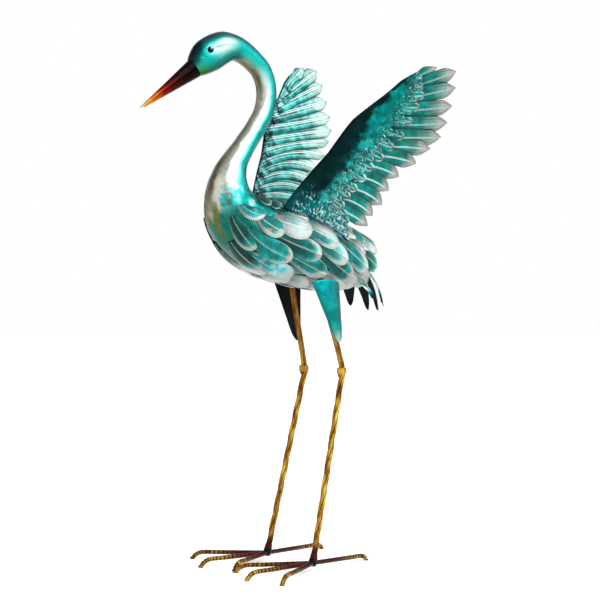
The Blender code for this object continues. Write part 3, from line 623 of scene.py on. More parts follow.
for k in range(10):
    angles = (-54, -33, -11, 11, 33, 54) if k % 2 else (-44, -22, 0, 22, 44)
    for angle in angles if k > 1 else (-33, -11, 11, 33):
        outer = abs(angle) > 50
        # Outer mantle feathers are silver; the first four rows of the rest take deep painted shade at
        # their roots
        tones = (0.2, 0.9, 0.0, 0.0) if outer else (0.80, 0.4, 0.95 if k < 4 else 0.3, 0.0)
        tip, lift = 0.062 + k * 0.031, SMALL_LIFT + 0.0006 * random.random()
        coat_feather(bm, tip, angle, SMALL_LENGTH, 0.044, 1, tones, lift, SMALL_SLOPE, (14, 30))
set_in_place(
    "mantle_feather_rows", bm, ["mantle_feathers"], FEATHER_SIDES, FEATHER_SHEET,
    Vector((0, 0, 1)),
)

# WINGS
# Each wing is a fan of long cut feathers with a fan of shorter coverts and a smooth shoulder
# over them, all stamped sheet, welded at the shoulder and along the foot of the wing.
WING_ROOT = (-0.055, 0.052, 0.667)
WING_SET = {"left": (13.5, 19.5, 51.2), "right": (11.0, 15.0, 58.0)}
WING_SHIFT = {"left": 0.0, "right": 0.004}
WING_BULGE = 0.004
WING_SPAN = 0.157
LEADING_EDGE = (
    (-0.006, 0.003), (0.020, -0.004), (0.080, -0.009), (0.125, -0.011), (0.180, -0.0205),
    (0.200, -0.022), (0.240, -0.016), (0.280, -0.009), (0.310, -0.007), (0.345, 0.004),
)
FOOT_LINE = (
    (-0.03, -0.004), (0.007, -0.003), (0.0216, 0.006), (0.0385, 0.0165), (0.054, 0.024),
    (0.070, 0.029), (0.088, 0.032), (0.104, 0.035), (0.120, 0.038), (0.160, 0.045),
)
FLIGHT_TIPS = (
    (0.086, 0.157, 87), (0.1055, 0.149, 92), (0.132, 0.147, 91), (0.159, 0.136, 87),
    (0.190, 0.131, 80), (0.231, 0.138, 68), (0.268, 0.138, 56), (0.298, 0.137, 48),
    (0.3245, 0.125, 44), (0.351, 0.1075, 42), (0.378, 0.0857, 36), (0.398, 0.063, 28),
    (0.376, 0.029, 24),
)
COVERT_TIPS = (
    (0.0465, 0.142, 80), (0.0555, 0.134, 80), (0.0643, 0.1206, 79), (0.0705, 0.1073, 79),
    (0.078, 0.090, 78), (0.0972, 0.0854, 76), (0.1166, 0.0842, 75), (0.141, 0.083, 73),
    (0.165, 0.078, 71), (0.191, 0.079, 67), (0.219, 0.079, 61), (0.247, 0.078, 54),
    (0.277, 0.069, 49), (0.304, 0.059, 46), (0.325, 0.049, 42), (0.335, 0.034, 36),
    (0.344, 0.0204, 30), (0.346, 0.0073, 24),
)
FLIGHT_ROOTS = (0.012, 0.300, 1.25)
COVERT_ROOTS = (-0.002, 0.334, 1.10)
QUILL_STRAIGHT = 0.45
EDGE_INSET = 0.0030
FOOT_INSET = 0.001
FLIGHT_FREE = 0.027
FLIGHT_TOOTH = 0.0012
WING_SHEET = 0.0009


def read_pairs(pairs, key):
    for (k0, v0), (k1, v1) in zip(pairs, pairs[1:]):
        if key <= k1:
            return v0 + (v1 - v0) * (key - k0) / (k1 - k0)
    return pairs[-1][1]


@functools.lru_cache(maxsize=None)
def wing_axes(side):
    """Directions along a wing's root line, back across the wing, and out of it."""
    flare, lean, climb = (math.radians(angle) for angle in WING_SET[side])
    run, rise = math.cos(climb), math.sin(climb)
    along = Vector((run, math.tan(flare) * run + math.tan(lean) * rise, rise)).normalized()
    out = Vector((-math.tan(flare), 1.0, -math.tan(lean))).normalized()
    back = out.cross(along).normalized()
    sign = 1 if side == "left" else -1
    return [Vector((v.x, -sign * v.y, v.z)) for v in (along, back, out)]


def wing_point(side, p, q, lift):
    along, back, out = wing_axes(side)
    x, y, z = WING_ROOT
    swell = WING_BULGE * math.sin(math.pi * min(1.0, max(0.0, q / WING_SPAN)))
    return (Vector((x + WING_SHIFT[side], -y if side == "left" else y, z))
            + along * p + back * q + out * (lift + swell))


def quills(tips, roots, inset):
    """Curved centre lines of a fan's feathers, from the leading edge to the tips."""
    first, last, crowding = roots
    lines = []
    for i, (p, q, way) in enumerate(tips):
        end = Vector((p, q))
        root_p = first + (last - first) * (i / (len(tips) - 1)) ** crowding
        start = Vector((root_p, read_pairs(LEADING_EDGE, root_p) + inset))
        angle = math.radians(way)
        turn = end - Vector((math.cos(angle), math.sin(angle))) * (end - start).length * QUILL_STRAIGHT
        lines.append((start, turn, end))
    return lines


def read_quill(points, share):
    start, turn, end = points
    return start * (1 - share) ** 2 + turn * (2 * share * (1 - share)) + end * share ** 2


def between_quills(lines, place):
    """The quill at a fractional place in the fan."""
    i = max(0, min(len(lines) - 2, int(place)))
    f = place - i
    return tuple(a.lerp(b, f) for a, b in zip(lines[i], lines[i + 1]))


def wing_feather(
    bm, side, points, half_width, start, lift, tones, notch, tooth, grid,
    tilt=0.0016, stretch=1.0, point=1.0,
):
    """One feather of a wing from share start of its quill to its tip.

    half_width gives its half width at a share of the quill, towards step 1 or -1 of the fan.
    """
    total = (points[2] - points[0]).length
    free = 1 - notch / total
    teal, white, root = tones

    def along(v):
        return start + (stretch - start) * v

    def barb(u, v):
        return (total * along(v) + abs(2 * u - 1) * 0.006) / 0.0022

    def place(u, v):
        s = 2 * u - 1
        reach = math.copysign(abs(s) ** 1.3, s)
        share = along(v)
        centre = read_quill(points, share)
        ahead = read_quill(points, share + 0.01) - read_quill(points, share - 0.01)
        across = Vector((ahead.y, -ahead.x)).normalized()
        half = half_width(min(share, free), 1 if reach > 0 else -1)
        past = max(0.0, (share - free) / (stretch - free))
        half *= max(0.0, 1 - past ** (1.5 * point)) ** (0.6 if point > 1 else 0.85)
        if tooth and reach:
            row = round(v * grid[1])
            toothed = min(1.0, max(0.0, (share - free + 0.18) / 0.1)) * (1 - past ** 4)
            half -= tooth * (row % 2) * abs(reach) ** 6 * toothed
        flat = centre + across * (half * reach)
        p = max(flat.x, read_pairs(FOOT_LINE, flat.y) + FOOT_INSET)
        flat.y = max(flat.y, read_pairs(LEADING_EDGE, p) + EDGE_INSET)
        rib = 0.0007 * math.exp(-((abs(reach) - 0.10) / 0.07) ** 2) * min(1.0, max(0.0, (0.94 - v) / 0.1))
        fold = 0.0011 * (1 - abs(reach))
        barbs = 0.00012 * math.sin(math.tau * barb(u, v)) * min(1.0, abs(reach) * 2)
        return wing_point(side, p, flat.y, lift + fold + rib + barbs + tilt * reach)

    marks = {"teal": teal, "white": white, "root": root, "barb": barb, "shade": lambda u, v: along(v)}
    bend_grid(bm, *grid, place, marks)


def flight_recipe(paint):
    reach, share, upper = paint.reach(), paint.mark("shade"), paint.mark("root")
    streak = paint.mark("barb").wave()
    cloud = paint.cloud(0.02)
    fine = paint.cloud(0.004, 4.0)
    grey = (streak * 0.7).over((0.07, 0.075, 0.065), (0.44, 0.46, 0.41))
    short_of_tip = 1 - share.rise(0.90, 0.96)
    colour = cloud.ramp((
        (0.25, (0.0, 0.065, 0.055)), (0.5, (0.0, 0.175, 0.145)), (0.75, (0.0, 0.34, 0.29)),
    )).coats(
        (streak * 0.40, (0.0, 0.045, 0.038)),
        (share.rise(0.66, 0.90) * upper * 0.65, (0.26, 0.36, 0.32)),
        ((share + (cloud - 0.5) * 0.10 + reach * 0.07).rise(0.86, 0.95), grey),
        # Inner line, dark edge, painted highlight on the rib, painted shade in its groove and the painted
        # shadow under the coverts
        (reach.band(0.60, 0.70, 0.80) * share.rise(0.66, 0.78) * 0.7, (0.03, 0.055, 0.045)),
        (reach.rise(0.82, 0.95) * share.rise(0.45, 0.68) * 0.9, (0.035, 0.045, 0.040)),
        (reach.band(0.02, 0.10, 0.19) * short_of_tip * (0.95 - upper * 0.45), (0.86, 0.92, 0.90)),
        ((1 - reach.rise(0.015, 0.055)) * short_of_tip * 0.75, (0.0, 0.05, 0.055)),
        ((1 - share.rise(0.42, 0.66)) * 0.75, (0.0, 0.035, 0.038)),
    )
    return colour, 0.80, 0.27 + fine * 0.20, streak * 0.6 + fine * 0.4, 0.0005


def inner_recipe(paint):
    reach, share = paint.reach(), paint.mark("shade")
    streak = paint.mark("barb").wave()
    cloud = paint.cloud(0.018)
    fine = paint.cloud(0.004, 4.0)
    worn = share + (cloud - 0.5) * 0.5
    fleck = paint.cloud(0.004, 2.0).rise(0.56, 0.62)
    edge = reach.rise(0.74, 0.95) * share.rise(0.12, 0.34)
    colour = cloud.ramp((
        (0.32, (0.0, 0.075, 0.065)), (0.47, (0.0, 0.26, 0.235)), (0.66, (0.08, 0.56, 0.52)),
    )).coats(
        (streak * 0.35, (0.0, 0.12, 0.10)),
        (worn.rise(0.50, 0.98) * 0.9, (0.42, 0.60, 0.54)),
        # Painted highlight on the rib, painted shade in its groove, side vein, dark edge and the black
        # along the wing's front with its flecks
        (reach.band(0.05, 0.16, 0.30), (0.90, 0.96, 0.94)),
        ((1 - reach.rise(0.01, 0.08)) * (0.95 - share.rise(0.7, 1.0) * 0.3), (0.0, 0.10, 0.10)),
        (reach.band(0.46, 0.56, 0.66) * (1 - share.rise(0.80, 0.95)) * 0.4, (0.70, 0.88, 0.85)),
        (edge * (0.9 - share.rise(0.70, 0.96) * 0.45), (0.0, 0.065, 0.060)),
        ((1 - worn.rise(0.02, 0.14)) * (1 - fleck) * 0.95, (0.0, 0.012, 0.022)),
    )
    return colour, 0.60, 0.28 + fine * 0.18, streak * 0.5 + fine * 0.5, 0.0006


flight_paint = mixed_paint("flight_paint", flight_recipe)
inner_paint = mixed_paint("wing_inner_paint", inner_recipe)
flight_quills = quills(FLIGHT_TIPS, FLIGHT_ROOTS, 0.005)
covert_quills = quills(COVERT_TIPS, COVERT_ROOTS, 0.001)


def half_way(lines, i, j, share, overlap=1.18, widest=0.0158):
    """Half the distance to the neighbouring quill, a little over so that the feathers lap."""
    if not 0 <= j < len(lines):
        return widest * 0.8 * min(1.0, 0.3 + share)
    gap = (read_quill(lines[i], share) - read_quill(lines[j], share)).length / 2
    return min(widest, gap * overlap + 0.0006)


for side, sign in SIDES:
    bm = bmesh.new()
    for i, points in enumerate(flight_quills):
        upper = 0.0 if i < 6 else min(1.0, (i - 5) / 3)
        wing_feather(
            bm, side, points, lambda share, step, i=i: half_way(flight_quills, i, i + step, share),
            0.0, 0.0006, (0.4, 0.4, upper), FLIGHT_FREE, FLIGHT_TOOTH, (14, 110),
        )
    set_in_place(
        side + "_flight_feather_fan", bm, [side + "_wing_flight_feathers"],
        [flight_paint, inner_paint], WING_SHEET, wing_axes(side)[2],
    )

# COVERTS AND SHOULDERS
# Rows of small scale-like feathers lap from the smooth rolled shoulder down to the covert tips.
# The shoulder is sprayed black, fading to deep teal, and the scales catch silver on their edges.

# Rows from the covert tips up to the shoulder: share of the quill reached, and count
COVERT_ROWS = ((1.0, 18), (0.86, 21), (0.74, 24), (0.63, 26), (0.53, 28), (0.44, 28))
SHOULDER_SHARE = 0.42
SHOULDER_LIFT = 0.0070
COVERT_LIFT = 0.0036
COVERT_STEP = 0.00035


def covert_recipe(paint):
    reach, along = paint.reach(), paint.uv()[1]
    share, wing_place, white = (paint.mark(name) for name in ("shade", "root", "white"))
    streak = paint.mark("barb").wave()
    cloud = paint.cloud(0.016)
    fine = paint.cloud(0.003, 4.0)
    rim_colour = white.over((0.70, 0.76, 0.74), (0.20, 0.22, 0.15))
    rim = (reach * 0.7 + along.rise(0.45, 1.0) * 0.6 + (cloud - 0.5) * 0.6).rise(0.72, 1.15)
    # Black lies widest over the middle of the shoulder and thins to its edge at foot and top
    width = wing_place.band(-0.10, 0.36, 0.86)
    dark = 1 - (share - width * 0.34 + (cloud - 0.5) * 0.42).rise(0.03, 0.24)
    foot = 1 - wing_place.rise(0.06, 0.26)
    splash = paint.cloud(0.0040, 4.0, stretch=(1, 1, 0.45)).rise(0.53, 0.66) * foot
    rib = reach.band(0.02, 0.12, 0.24) * (1 - along.rise(0.8, 0.93)) * share.rise(0.5, 0.9)
    colour = cloud.ramp((
        (0.25, (0.0, 0.040, 0.040)), (0.5, (0.0, 0.15, 0.13)), (0.75, (0.0, 0.38, 0.35)),
    )).coats(
        (streak * 0.30, (0.0, 0.04, 0.04)),
        (rim * share.rise(0.35, 1.05), rim_colour),
        (dark * 0.97, (0.0, 0.006, 0.007)),
        (foot * 0.55, (0.0, 0.070, 0.082)),
        (splash * share.rise(0.03, 0.18) * 0.65, (0.50, 0.78, 0.80)),
        # Haze below the black, then flecks over the scales, then a painted highlight on their ribs
        (share.band(0.08, 0.28, 0.46) * paint.cloud(0.04).rise(0.42, 0.70) * 0.8, (0.0, 0.055, 0.060)),
        (paint.cloud(0.0035, 2.0).rise(0.60, 0.70) * share.band(0.34, 0.62, 0.95) * 0.70,
         (0.45, 0.80, 0.80)),
        (rib * 0.6, (0.80, 0.88, 0.86)),
    )
    relief = paint.cloud(0.0035, 2.0) * share.rise(0.2, 0.5) + streak * 0.2
    return colour, 0.82, 0.24 + fine * 0.2, relief, 0.0010


def shoulder_place(side):
    """The shoulder plate reaches from the leading edge to the first scales."""
    def place(u, v):
        points = between_quills(covert_quills, u * last)
        spot = read_quill(points, SHOULDER_SHARE * v)
        p = max(spot.x, read_pairs(FOOT_LINE, spot.y) + FOOT_INSET)
        roll = 0.0032 * (1 - min(1.0, v / 0.10)) ** 2
        return wing_point(side, p, spot.y, SHOULDER_LIFT - roll + 0.0012 * math.sin(math.pi * v * 0.8))
    return place


covert_paint = mixed_paint("covert_paint", covert_recipe, {"Specular IOR Level": 0.15})
last = len(covert_quills) - 1
for side, sign in SIDES:
    bm = bmesh.new()
    for row, (reached, count) in enumerate(COVERT_ROWS):
        for k in range(count):
            spot = last * k / (count - 1)
            points = between_quills(covert_quills, spot)
            neighbour = between_quills(covert_quills, spot + 0.5 if spot + 0.5 <= last else spot - 0.5)
            gap = (read_quill(points, reached) - read_quill(neighbour, reached)).length
            half = max(0.0042, min(0.0085, gap * 2 * last / (count - 1) * 0.66))
            drawn = max(0.0, reached - (0.24 if row else 0.42))
            notch = (1 - reached) * (points[2] - points[0]).length + 0.010
            tones = (0.5, 0.15 if spot > 9 else 0.7, spot / last)
            wing_feather(
                bm, side, points, lambda share, step, half=half: half, drawn,
                COVERT_LIFT + row * COVERT_STEP, tones, notch, 0.0, (8, 18), 0.0005, reached, 1.6,
            )
    bend_grid(bm, 90, 24, shoulder_place(side), {
        "teal": 0.5, "white": 0.4, "root": lambda u, v: u, "barb": 0.0,
        "shade": lambda u, v: SHOULDER_SHARE * v,
    })
    set_in_place(
        side + "_covert_fan", bm, [side + "_wing_coverts"],
        [covert_paint, inner_paint], WING_SHEET, wing_axes(side)[2],
    )

# TAIL PLUMES
# Pointed plumes cut from sheet hang in pairs from the rump, black inside and teal and silver
# outside. The middle one on the left is slit into three fingers.
TAIL_PLUMES = (
    ((0.1625, 0.010, 0.558), (0.198, 0.014, 0.474), 14, 0.026),
    ((0.1580, 0.032, 0.550), (0.182, 0.047, 0.482), 40, 0.026),
    ((0.1340, 0.038, 0.531), (0.148, 0.060, 0.497), 62, 0.024),
)
WHOLE = ((0.0, 1.0, 1.0),)
FINGERS = ((-0.62, 0.42, 0.84), (0.0, 0.44, 1.0), (0.62, 0.42, 0.90))
TAIL_THROW = 0.012


def on_side(point, sign):
    """A place on the bird's left, or its mirror image on the right."""
    return Vector((point[0], -sign * point[1], point[2]))


def plume_recipe(paint):
    place = paint.uv()[1] + (paint.cloud(0.014) - 0.5) * 0.35
    colour = place.ramp((
        (0.0, (0.50, 0.56, 0.52)), (0.16, (0.0, 0.26, 0.23)), (0.34, (0.52, 0.62, 0.58)),
        (0.52, (0.0, 0.24, 0.24)), (0.70, (0.0, 0.03, 0.05)), (1.0, (0.002, 0.005, 0.007)),
    ))
    relief = paint.cloud(0.004, stretch=(1, 1, 0.2))
    return colour, 0.8, 0.28 + paint.cloud(0.003, 4.0) * 0.2, relief, 0.0006


plume_paint = mixed_paint("plume_paint", plume_recipe)


def plume_place(top, tip, facing, width, sign, finger):
    start, end = on_side(top, sign), on_side(tip, sign)
    turn = math.radians(facing)
    out = Vector((math.cos(turn), -sign * math.sin(turn), 0))
    across = Vector((-out.y, out.x, 0))
    shift, share_wide, reach_down = finger
    def place(u, v):
        down = 1 - (1 - v) ** 1.3
        share = down * reach_down
        s = 2 * u - 1
        wide = width / 2 * (0.80 + 0.20 * math.sin(math.pi * min(1.0, share * 1.4)))
        # A whole blade ends rounder than a finger
        late, full = (3.6, 0.62) if share_wide == 1.0 else (2.6, 0.8)
        narrow = max(0.0, 1 - down ** late) ** full
        offset = (shift * (1 - 0.3 * down) + s * share_wide * narrow) * wide
        crown = 0.003 * (1 - (shift + s * share_wide) ** 2) + 0.0008 * (1 - abs(s))
        centre = start.lerp(end, share) + out * (TAIL_THROW * math.sin(math.pi * share) * 0.5)
        return centre + across * offset + out * crown
    return place, out


for number, (top, tip, facing, width) in enumerate(TAIL_PLUMES, 1):
    for side, sign in SIDES:
        bm = bmesh.new()
        for finger in FINGERS if (side, number) == ("left", 2) else WHOLE:
            place, out = plume_place(top, tip, facing, width, sign, finger)
            bend_grid(bm, 12, 44, place)
        set_in_place(
            f"{side}_plume_{number}", bm, [f"{side}_tail_plume_{number}"],
            [plume_paint, feather_back], FEATHER_SHEET, out,
        )

# THIGH PLATES
# A bowed tapering plate is welded outside each leg. It is teal outside and black within.
THIGH_TOP = (0.0370, 0.0585, 0.5325)
THIGH_FOOT = (0.0660, 0.0650, 0.4170)
THIGH_WIDTHS = ((0.0, 0.064), (0.25, 0.052), (0.5, 0.040), (0.75, 0.028), (0.92, 0.018), (1.0, 0.006))
THIGH_CROWN = 0.010


def thigh_recipe(paint):
    place = paint.uv()[1] + (paint.cloud(0.016) - 0.5) * 0.55
    colour = place.ramp((
        (0.0, (0.0, 0.30, 0.30)), (0.14, (0.0, 0.15, 0.17)), (0.30, (0.0, 0.24, 0.22)),
        (0.50, (0.0, 0.13, 0.12)), (0.68, (0.0, 0.22, 0.18)), (0.84, (0.08, 0.26, 0.22)),
        (1.0, (0.34, 0.40, 0.36)),
    )).coats((paint.reach().rise(0.6, 1.0) * 0.6, (0.0, 0.07, 0.09)))
    return colour, 0.82, 0.28 + paint.cloud(0.004, 4.0) * 0.2, paint.cloud(0.012, 3.0), 0.0024


def thigh_place(sign):
    high, low = on_side(THIGH_TOP, sign), on_side(THIGH_FOOT, sign)

    def place(u, v):
        s = 2 * u - 1
        share = 1 - (1 - v) ** 1.25
        width = read_pairs(THIGH_WIDTHS, share)
        corner = min(1.0, share / 0.06) ** 0.5
        dent = noise.noise(Vector((u * 3, share * 4, sign))) * 0.0008
        bow = THIGH_CROWN * (width / THIGH_WIDTHS[0][1]) * (1 - s * s) + dent
        return (high.lerp(low, share) + Vector((s * width / 2 * (0.88 + 0.12 * corner), -sign * bow, 0))
                + Vector((0, 0, -0.004 * (1 - corner) * abs(s) ** 3)))
    return place


thigh_paint = mixed_paint("thigh_paint", thigh_recipe)
for side, sign in SIDES:
    bm = bmesh.new()
    bend_grid(bm, 24, 60, thigh_place(sign))
    set_in_place(
        side + "_thigh_cover", bm, [side + "_thigh_plate"], [thigh_paint, feather_back],
        FEATHER_SHEET, Vector((0, -sign, 0)),
    )

# LEGS
# Each leg is three steel rods welded side by side, straight above the knee and twisted below it.
# Gold over dark brown, with the grooves between the rods painted darker.
HIP = (0.034, 0.0455, 0.545)
ANKLE = (0.0, 0.0710, 0.0185)
LEG_RADIUS = 0.0060
STRAND = 0.0035
KNEE_STRAIGHT = Vector((0, 0, 0.0105))
METAL_MARKS = ("groove", "brown", "black")


def gold_recipe(paint):
    groove, brown, black = (paint.mark(name) for name in METAL_MARKS)
    cloud = paint.cloud(0.010, stretch=(1, 1, 0.35))
    fine = paint.cloud(0.003, 4.0)
    colour = cloud.ramp((
        (0.32, (0.075, 0.022, 0.001)), (0.48, (0.25, 0.105, 0.005)), (0.68, (0.53, 0.33, 0.042)),
    )).coats(
        ((groove + (fine - 0.5) * 0.5).rise(0.22, 0.64) * 0.94, (0.014, 0.003, 0.002)),
        ((brown + (cloud - 0.5) * 0.5).rise(0.30, 0.85), (0.045, 0.006, 0.004)),
        # The knee collars, marked with a brown below 0, are bare brass
        ((brown * -1).rise(0.2, 0.8) * 0.45, (0.44, 0.27, 0.035)),
        ((black + (fine - 0.5) * 0.3).rise(0.35, 0.75), (0.006, 0.005, 0.005)),
    )
    return colour, 0.85, 0.24 + fine * 0.2, fine, 0.0004


gold_paint = mixed_paint("gold_paint", gold_recipe)


def along_path(points, distance):
    """Place and direction at a distance along straight runs."""
    for a, b in zip(points, points[1:]):
        run = (b - a).length
        if distance <= run or b is points[-1]:
            way = (b - a).normalized()
            return a + way * distance, way
        distance -= run


def strand_bundle(bm, points, turns, brown, rings):
    """Three round strands side by side, twisted round each other the given number of turns."""
    total = sum((b - a).length for a, b in zip(points, points[1:]))
    for strand in range(3):
        def place(u, v, strand=strand):
            distance = total * v
            centre, way = along_path(points, distance)
            before = along_path(points, max(0, distance - 0.004))[1]
            after = along_path(points, min(total, distance + 0.004))[1]
            way = (before + after).normalized()
            across = way.cross(Vector((0, 1, 0))).normalized()
            other = way.cross(across).normalized()
            turn = math.tau * (strand / 3 + turns * v)
            middle = centre + (across * math.cos(turn) + other * math.sin(turn)) * (LEG_RADIUS - STRAND)
            around = math.tau * u + turn
            return middle + (across * math.cos(around) + other * math.sin(around)) * STRAND

        bend_grid(bm, 14, rings, place, {
            "groove": lambda u, v: 0.5 - 0.5 * math.cos(math.tau * u), "brown": brown, "black": 0.0,
        }, closed=True)


def leg_points(sign):
    """A leg's knee, the end of its straight run below, its ankle, and the way up from there."""
    knee, ankle = on_side(KNEE, sign), on_side(ANKLE, sign)
    bend = knee - KNEE_STRAIGHT
    return knee, bend, ankle, (bend - ankle).normalized()


for side, sign in SIDES:
    knee, bend, ankle, leg_way = leg_points(sign)
    for name, node, run, turns, brown, rings in (
        ("_upper_leg_rods", "_upper_leg", [knee, knee + KNEE_STRAIGHT, on_side(HIP, sign)], 0.35,
         lambda u, v: 0.45 + 0.1 * v, 80),
        ("_shank_rods", "_shank", [knee, bend, ankle + leg_way * 0.006], 2.6,
         lambda u, v: max(0.0, 0.50 - 14 * v, (v - 0.86) / 0.12), 260),
    ):
        bm = bmesh.new()
        strand_bundle(bm, run, turns, brown, rings)
        close_ends(bm)
        set_in_place(side + name, bm, [side + node], [gold_paint])

# KNEE COLLARS
# A short turned ring of bare brass, with a narrower sleeve below it, slips over the rods at the
# knee and is welded there.
COLLAR_PROFILE = (
    (0.0062, -0.0098), (0.0068, -0.0098), (0.0072, -0.0092), (0.0072, -0.0052), (0.0084, -0.0050),
    (0.0090, -0.0044), (0.0090, 0.0060), (0.0084, 0.0067), (0.0062, 0.0067),
)


def turned(profile, closing, steps):
    """A turned piece: its profile, with closing points after it, spun round the upright axis."""
    bm = bmesh.new()
    marks = [bm.verts.layers.float.new(name) for name in METAL_MARKS]
    ring = [bm.verts.new((r, 0, z)) for r, z in profile]
    edges = [bm.edges.new(pair) for pair in zip(ring, ring[1:] + ring[:closing])]
    bmesh.ops.spin(
        bm, geom=ring + edges, cent=(0, 0, 0), axis=(0, 0, 1), angle=math.tau, steps=steps,
        use_merge=True,
    )
    return bm, *marks


for side, sign in SIDES:
    bm, groove, brown, black = turned(COLLAR_PROFILE, 1, 48)
    for vert in bm.verts:
        vert[brown] = -1.0 if vert.co.z > -0.0045 else 0.3
    bmesh.ops.translate(bm, verts=bm.verts, vec=on_side(KNEE, sign))
    set_in_place(side + "_knee_ring", bm, [side + "_knee_collar"], [gold_paint], sharp=30)

# FEET
# Four toes of ribbed bar are welded to a hub under each leg. Each toe runs level, then bends down
# to a cut end on the ground. The weld is left black, and maroon fades to gold along the toes.
TOE_RADIUS = 0.0042
TOES = {
    "left": ((-31, 0.146, 0.0145), (-1, 0.150, 0.0145), (33, 0.142, 0.0140), (166, 0.162, 0.0105)),
    "right": ((-25, 0.124, 0.0145), (7, 0.142, 0.0145), (47, 0.147, 0.0140), (163, 0.178, 0.0105)),
}
TOE_HEIGHT = 0.0168
TOE_HOOK = 1.25
TOE_RIB = 0.0056
TOE_CURVE = (0.0, 0.25, 0.5, 0.75, 0.97)
TOE_END = ((0.45, 0.72), (0.80, 0.34), (1.0, 0.0))
HUB_PROFILE = (
    (0.0, -0.0082), (0.0040, -0.0080), (0.0064, -0.0062), (0.0076, -0.0030), (0.0080, 0.0010),
    (0.0074, 0.0060), (0.0067, 0.0100), (0.0064, 0.0150), (0.0, 0.0155),
)


def toe_rib(points, centre):
    """0 in a groove of the ribbed bar and 1 on a rib, at this distance from the hub."""
    return 0.5 + 0.5 * math.sin(math.tau * (centre - points[0]).length / TOE_RIB)


def toe_place(points):
    last = len(points) - 1

    def place(u, v):
        """v runs along a smooth curve through the toe's points."""
        i = max(0, min(last - 1, int(v * last)))
        f = v * last - i
        a, b, c, d = points[max(0, i - 1)], points[i], points[i + 1], points[min(last, i + 2)]
        centre = on_smooth_curve(a, b, c, d, f)
        bend, twist = 2 * a - 5 * b + 4 * c - d, 3 * b - a - 3 * c + d
        ahead = 0.5 * ((c - a) + bend * 2 * f + twist * 3 * f * f)
        ahead.normalize()
        flat = ahead.cross(Vector((0, 0, 1))).normalized()
        rise = flat.cross(ahead).normalized()
        turn = math.tau * u
        radius = TOE_RADIUS * (0.90 + 0.14 * min(1.0, 1.5 * toe_rib(points, centre)))
        spot = centre + (flat * math.cos(turn) + rise * math.sin(turn)) * radius
        spot.z = max(spot.z, 0.0)
        return spot
    return place


for side, sign in SIDES:
    ankle, leg_way = leg_points(sign)[2:]
    bm, groove, brown, black = turned(HUB_PROFILE, 0, 36)
    bmesh.ops.remove_doubles(bm, verts=bm.verts, dist=1e-5)
    for vert in bm.verts:
        vert[black] = 1.0 - max(0.0, vert.co.z / 0.016)
        vert[brown] = 1.0
        vert.co += vert.co.normalized() * (noise.noise(vert.co * 300) * 0.0007)
    bmesh.ops.rotate(bm, verts=bm.verts, matrix=leg_way.to_track_quat("Z", "Y").to_matrix())
    bmesh.ops.translate(bm, verts=bm.verts, vec=ankle)
    for angle, length, bend in TOES[side]:
        way = Vector((-math.cos(math.radians(angle)), math.sin(math.radians(angle)), 0))
        hub = Vector((ankle.x, ankle.y, TOE_HEIGHT))
        hook = bend * TOE_HOOK
        level = length - hook
        fall = TOE_HEIGHT - bend
        points = [hub + way * (level * share) - Vector((0, 0, fall * share)) for share in TOE_CURVE]
        for reach, height in TOE_END:
            points.append(hub + way * (level + hook * reach) + Vector((0, 0, bend * height - TOE_HEIGHT)))
        bend_grid(bm, 20, 220, toe_place(points), {
            "groove": lambda u, v: 0.75 * (1 - toe_rib(points, points[0] + way * (v * length * 0.99))),
            "brown": lambda u, v: max(0.0, 1.15 - 1.5 * v),
            "black": lambda u, v: 0.9 - 8 * v,
        }, closed=True)
    close_ends(bm)
    set_in_place(side + "_foot_bars", bm, [side + "_foot"], [gold_paint], sharp=40)

# FLOOR, LIGHT AND CAMERA
# A plain white studio floor and soft light from both sides and above.
FLOOR_RADIUS = 14


def floor_recipe(paint):
    white = paint.cloud(1.5).ramp(((0.0, (0.90, 0.90, 0.90)), (1.0, (0.93, 0.93, 0.93))))
    return white, 0.0, 0.9


floor_white = mixed_paint("floor_white", floor_recipe, {
    "Emission Color": (1, 1, 1, 1), "Emission Strength": 0.30,
})
bm = bmesh.new()
bmesh.ops.create_circle(bm, cap_ends=True, segments=96, radius=FLOOR_RADIUS)
floor_mesh = bpy.data.meshes.new("studio_floor")
bm.to_mesh(floor_mesh)
bm.free()
floor = in_scene("studio_floor", floor_mesh)
floor_mesh.materials.append(floor_white)

CAMERA_TURN = math.radians(36.9)
CAMERA_LENS = 97.2
CAMERA_AWAY = 3.0
CAMERA_HEIGHT = 0.53
CAMERA_ASIDE = 10.3 / 540
CAMERA_FALL = 19 / 1620
toward = Vector((-math.sin(CAMERA_TURN), -math.cos(CAMERA_TURN), 0))
right = Vector((math.cos(CAMERA_TURN), -math.sin(CAMERA_TURN), 0))
above = Vector((0, 0, 1))

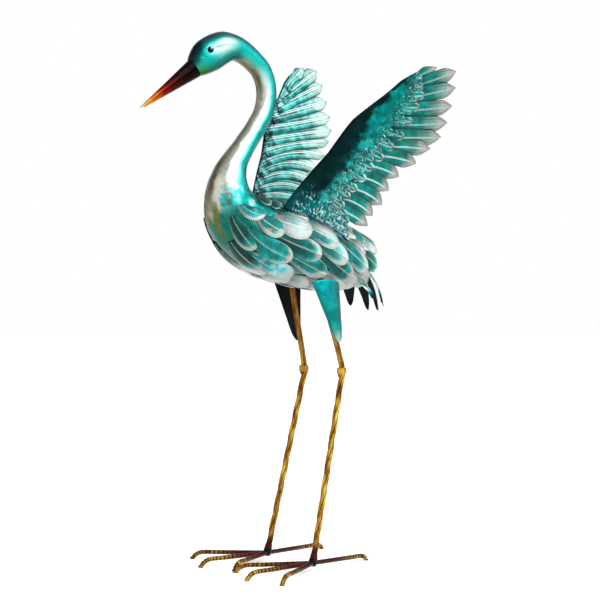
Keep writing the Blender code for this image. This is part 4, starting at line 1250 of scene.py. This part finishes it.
world = bpy.data.worlds.new("studio")
world.use_nodes = True
bpy.context.scene.world = world
air = Paint(world.node_tree)
heading = air.node("ShaderNodeTexCoord", {}, {}, 0)
# Soft bright patches of the studio's walls: the way to each, where it starts and is full, power
SOFTBOXES = (
    (toward * 0.75 + right * 0.75 + above * 0.8, 0.74, 0.88, 2.9),
    (right - toward * 0.1 + above * 0.35, 0.80, 0.93, 1.35),
    (toward * 0.6 - right + above * 0.3, 0.78, 0.93, 1.3),
    (-right - toward * 0.45 + above * 0.1, 0.80, 0.93, 0.55),
    (toward, 0.50, 0.95, 0.6),
    (above, 0.84, 0.96, 0.7),
    (-toward + above * 0.5, 0.80, 0.93, 0.7),
)
glow = 0.07
for way, edge, full, power in SOFTBOXES:
    sockets = {0: heading, 1: way.normalized()}
    facing = air.node("ShaderNodeVectorMath", {"operation": "DOT_PRODUCT"}, sockets, 1)
    glow = glow + facing.rise(edge, full) * power
seen = air.node("ShaderNodeLightPath", {}, {}, 0)
background = world.node_tree.nodes["Background"]
world.node_tree.links.new((seen + (1 - seen) * glow).socket, background.inputs["Strength"])
background.inputs["Color"].default_value = (1, 1, 1, 1)

# Two lamps beside the camera: name, place, side of its square and power
for name, place, size, power in (
    ("key", toward * 1.8 + right * 0.9 + Vector((0, 0, 2.1)), 0.8, 16),
    ("glint", toward * 1.7 + right * 0.6 + Vector((0, 0, 2.9)), 0.2, 7),
):
    lamp = bpy.data.lights.new(name, "AREA")
    lamp.shape = "RECTANGLE"
    lamp.size = lamp.size_y = size
    lamp.energy = power
    made = in_scene(name, lamp)
    made.location = place
    made.rotation_euler = (Vector((0, 0, 0.6)) - place).to_track_quat("-Z", "Y").to_euler()

lens = bpy.data.cameras.new("photo_view")
lens.lens = CAMERA_LENS
lens.sensor_width = 36
camera = in_scene("photo_view", lens)
camera.location = right * CAMERA_ASIDE + toward * CAMERA_AWAY + Vector((0, 0, CAMERA_HEIGHT)) + STAND
look = -toward - Vector((0, 0, CAMERA_FALL))
camera.rotation_euler = look.to_track_quat("-Z", "Y").to_euler()
bpy.context.scene.camera = camera
bpy.context.scene.view_settings.view_transform = "Standard"
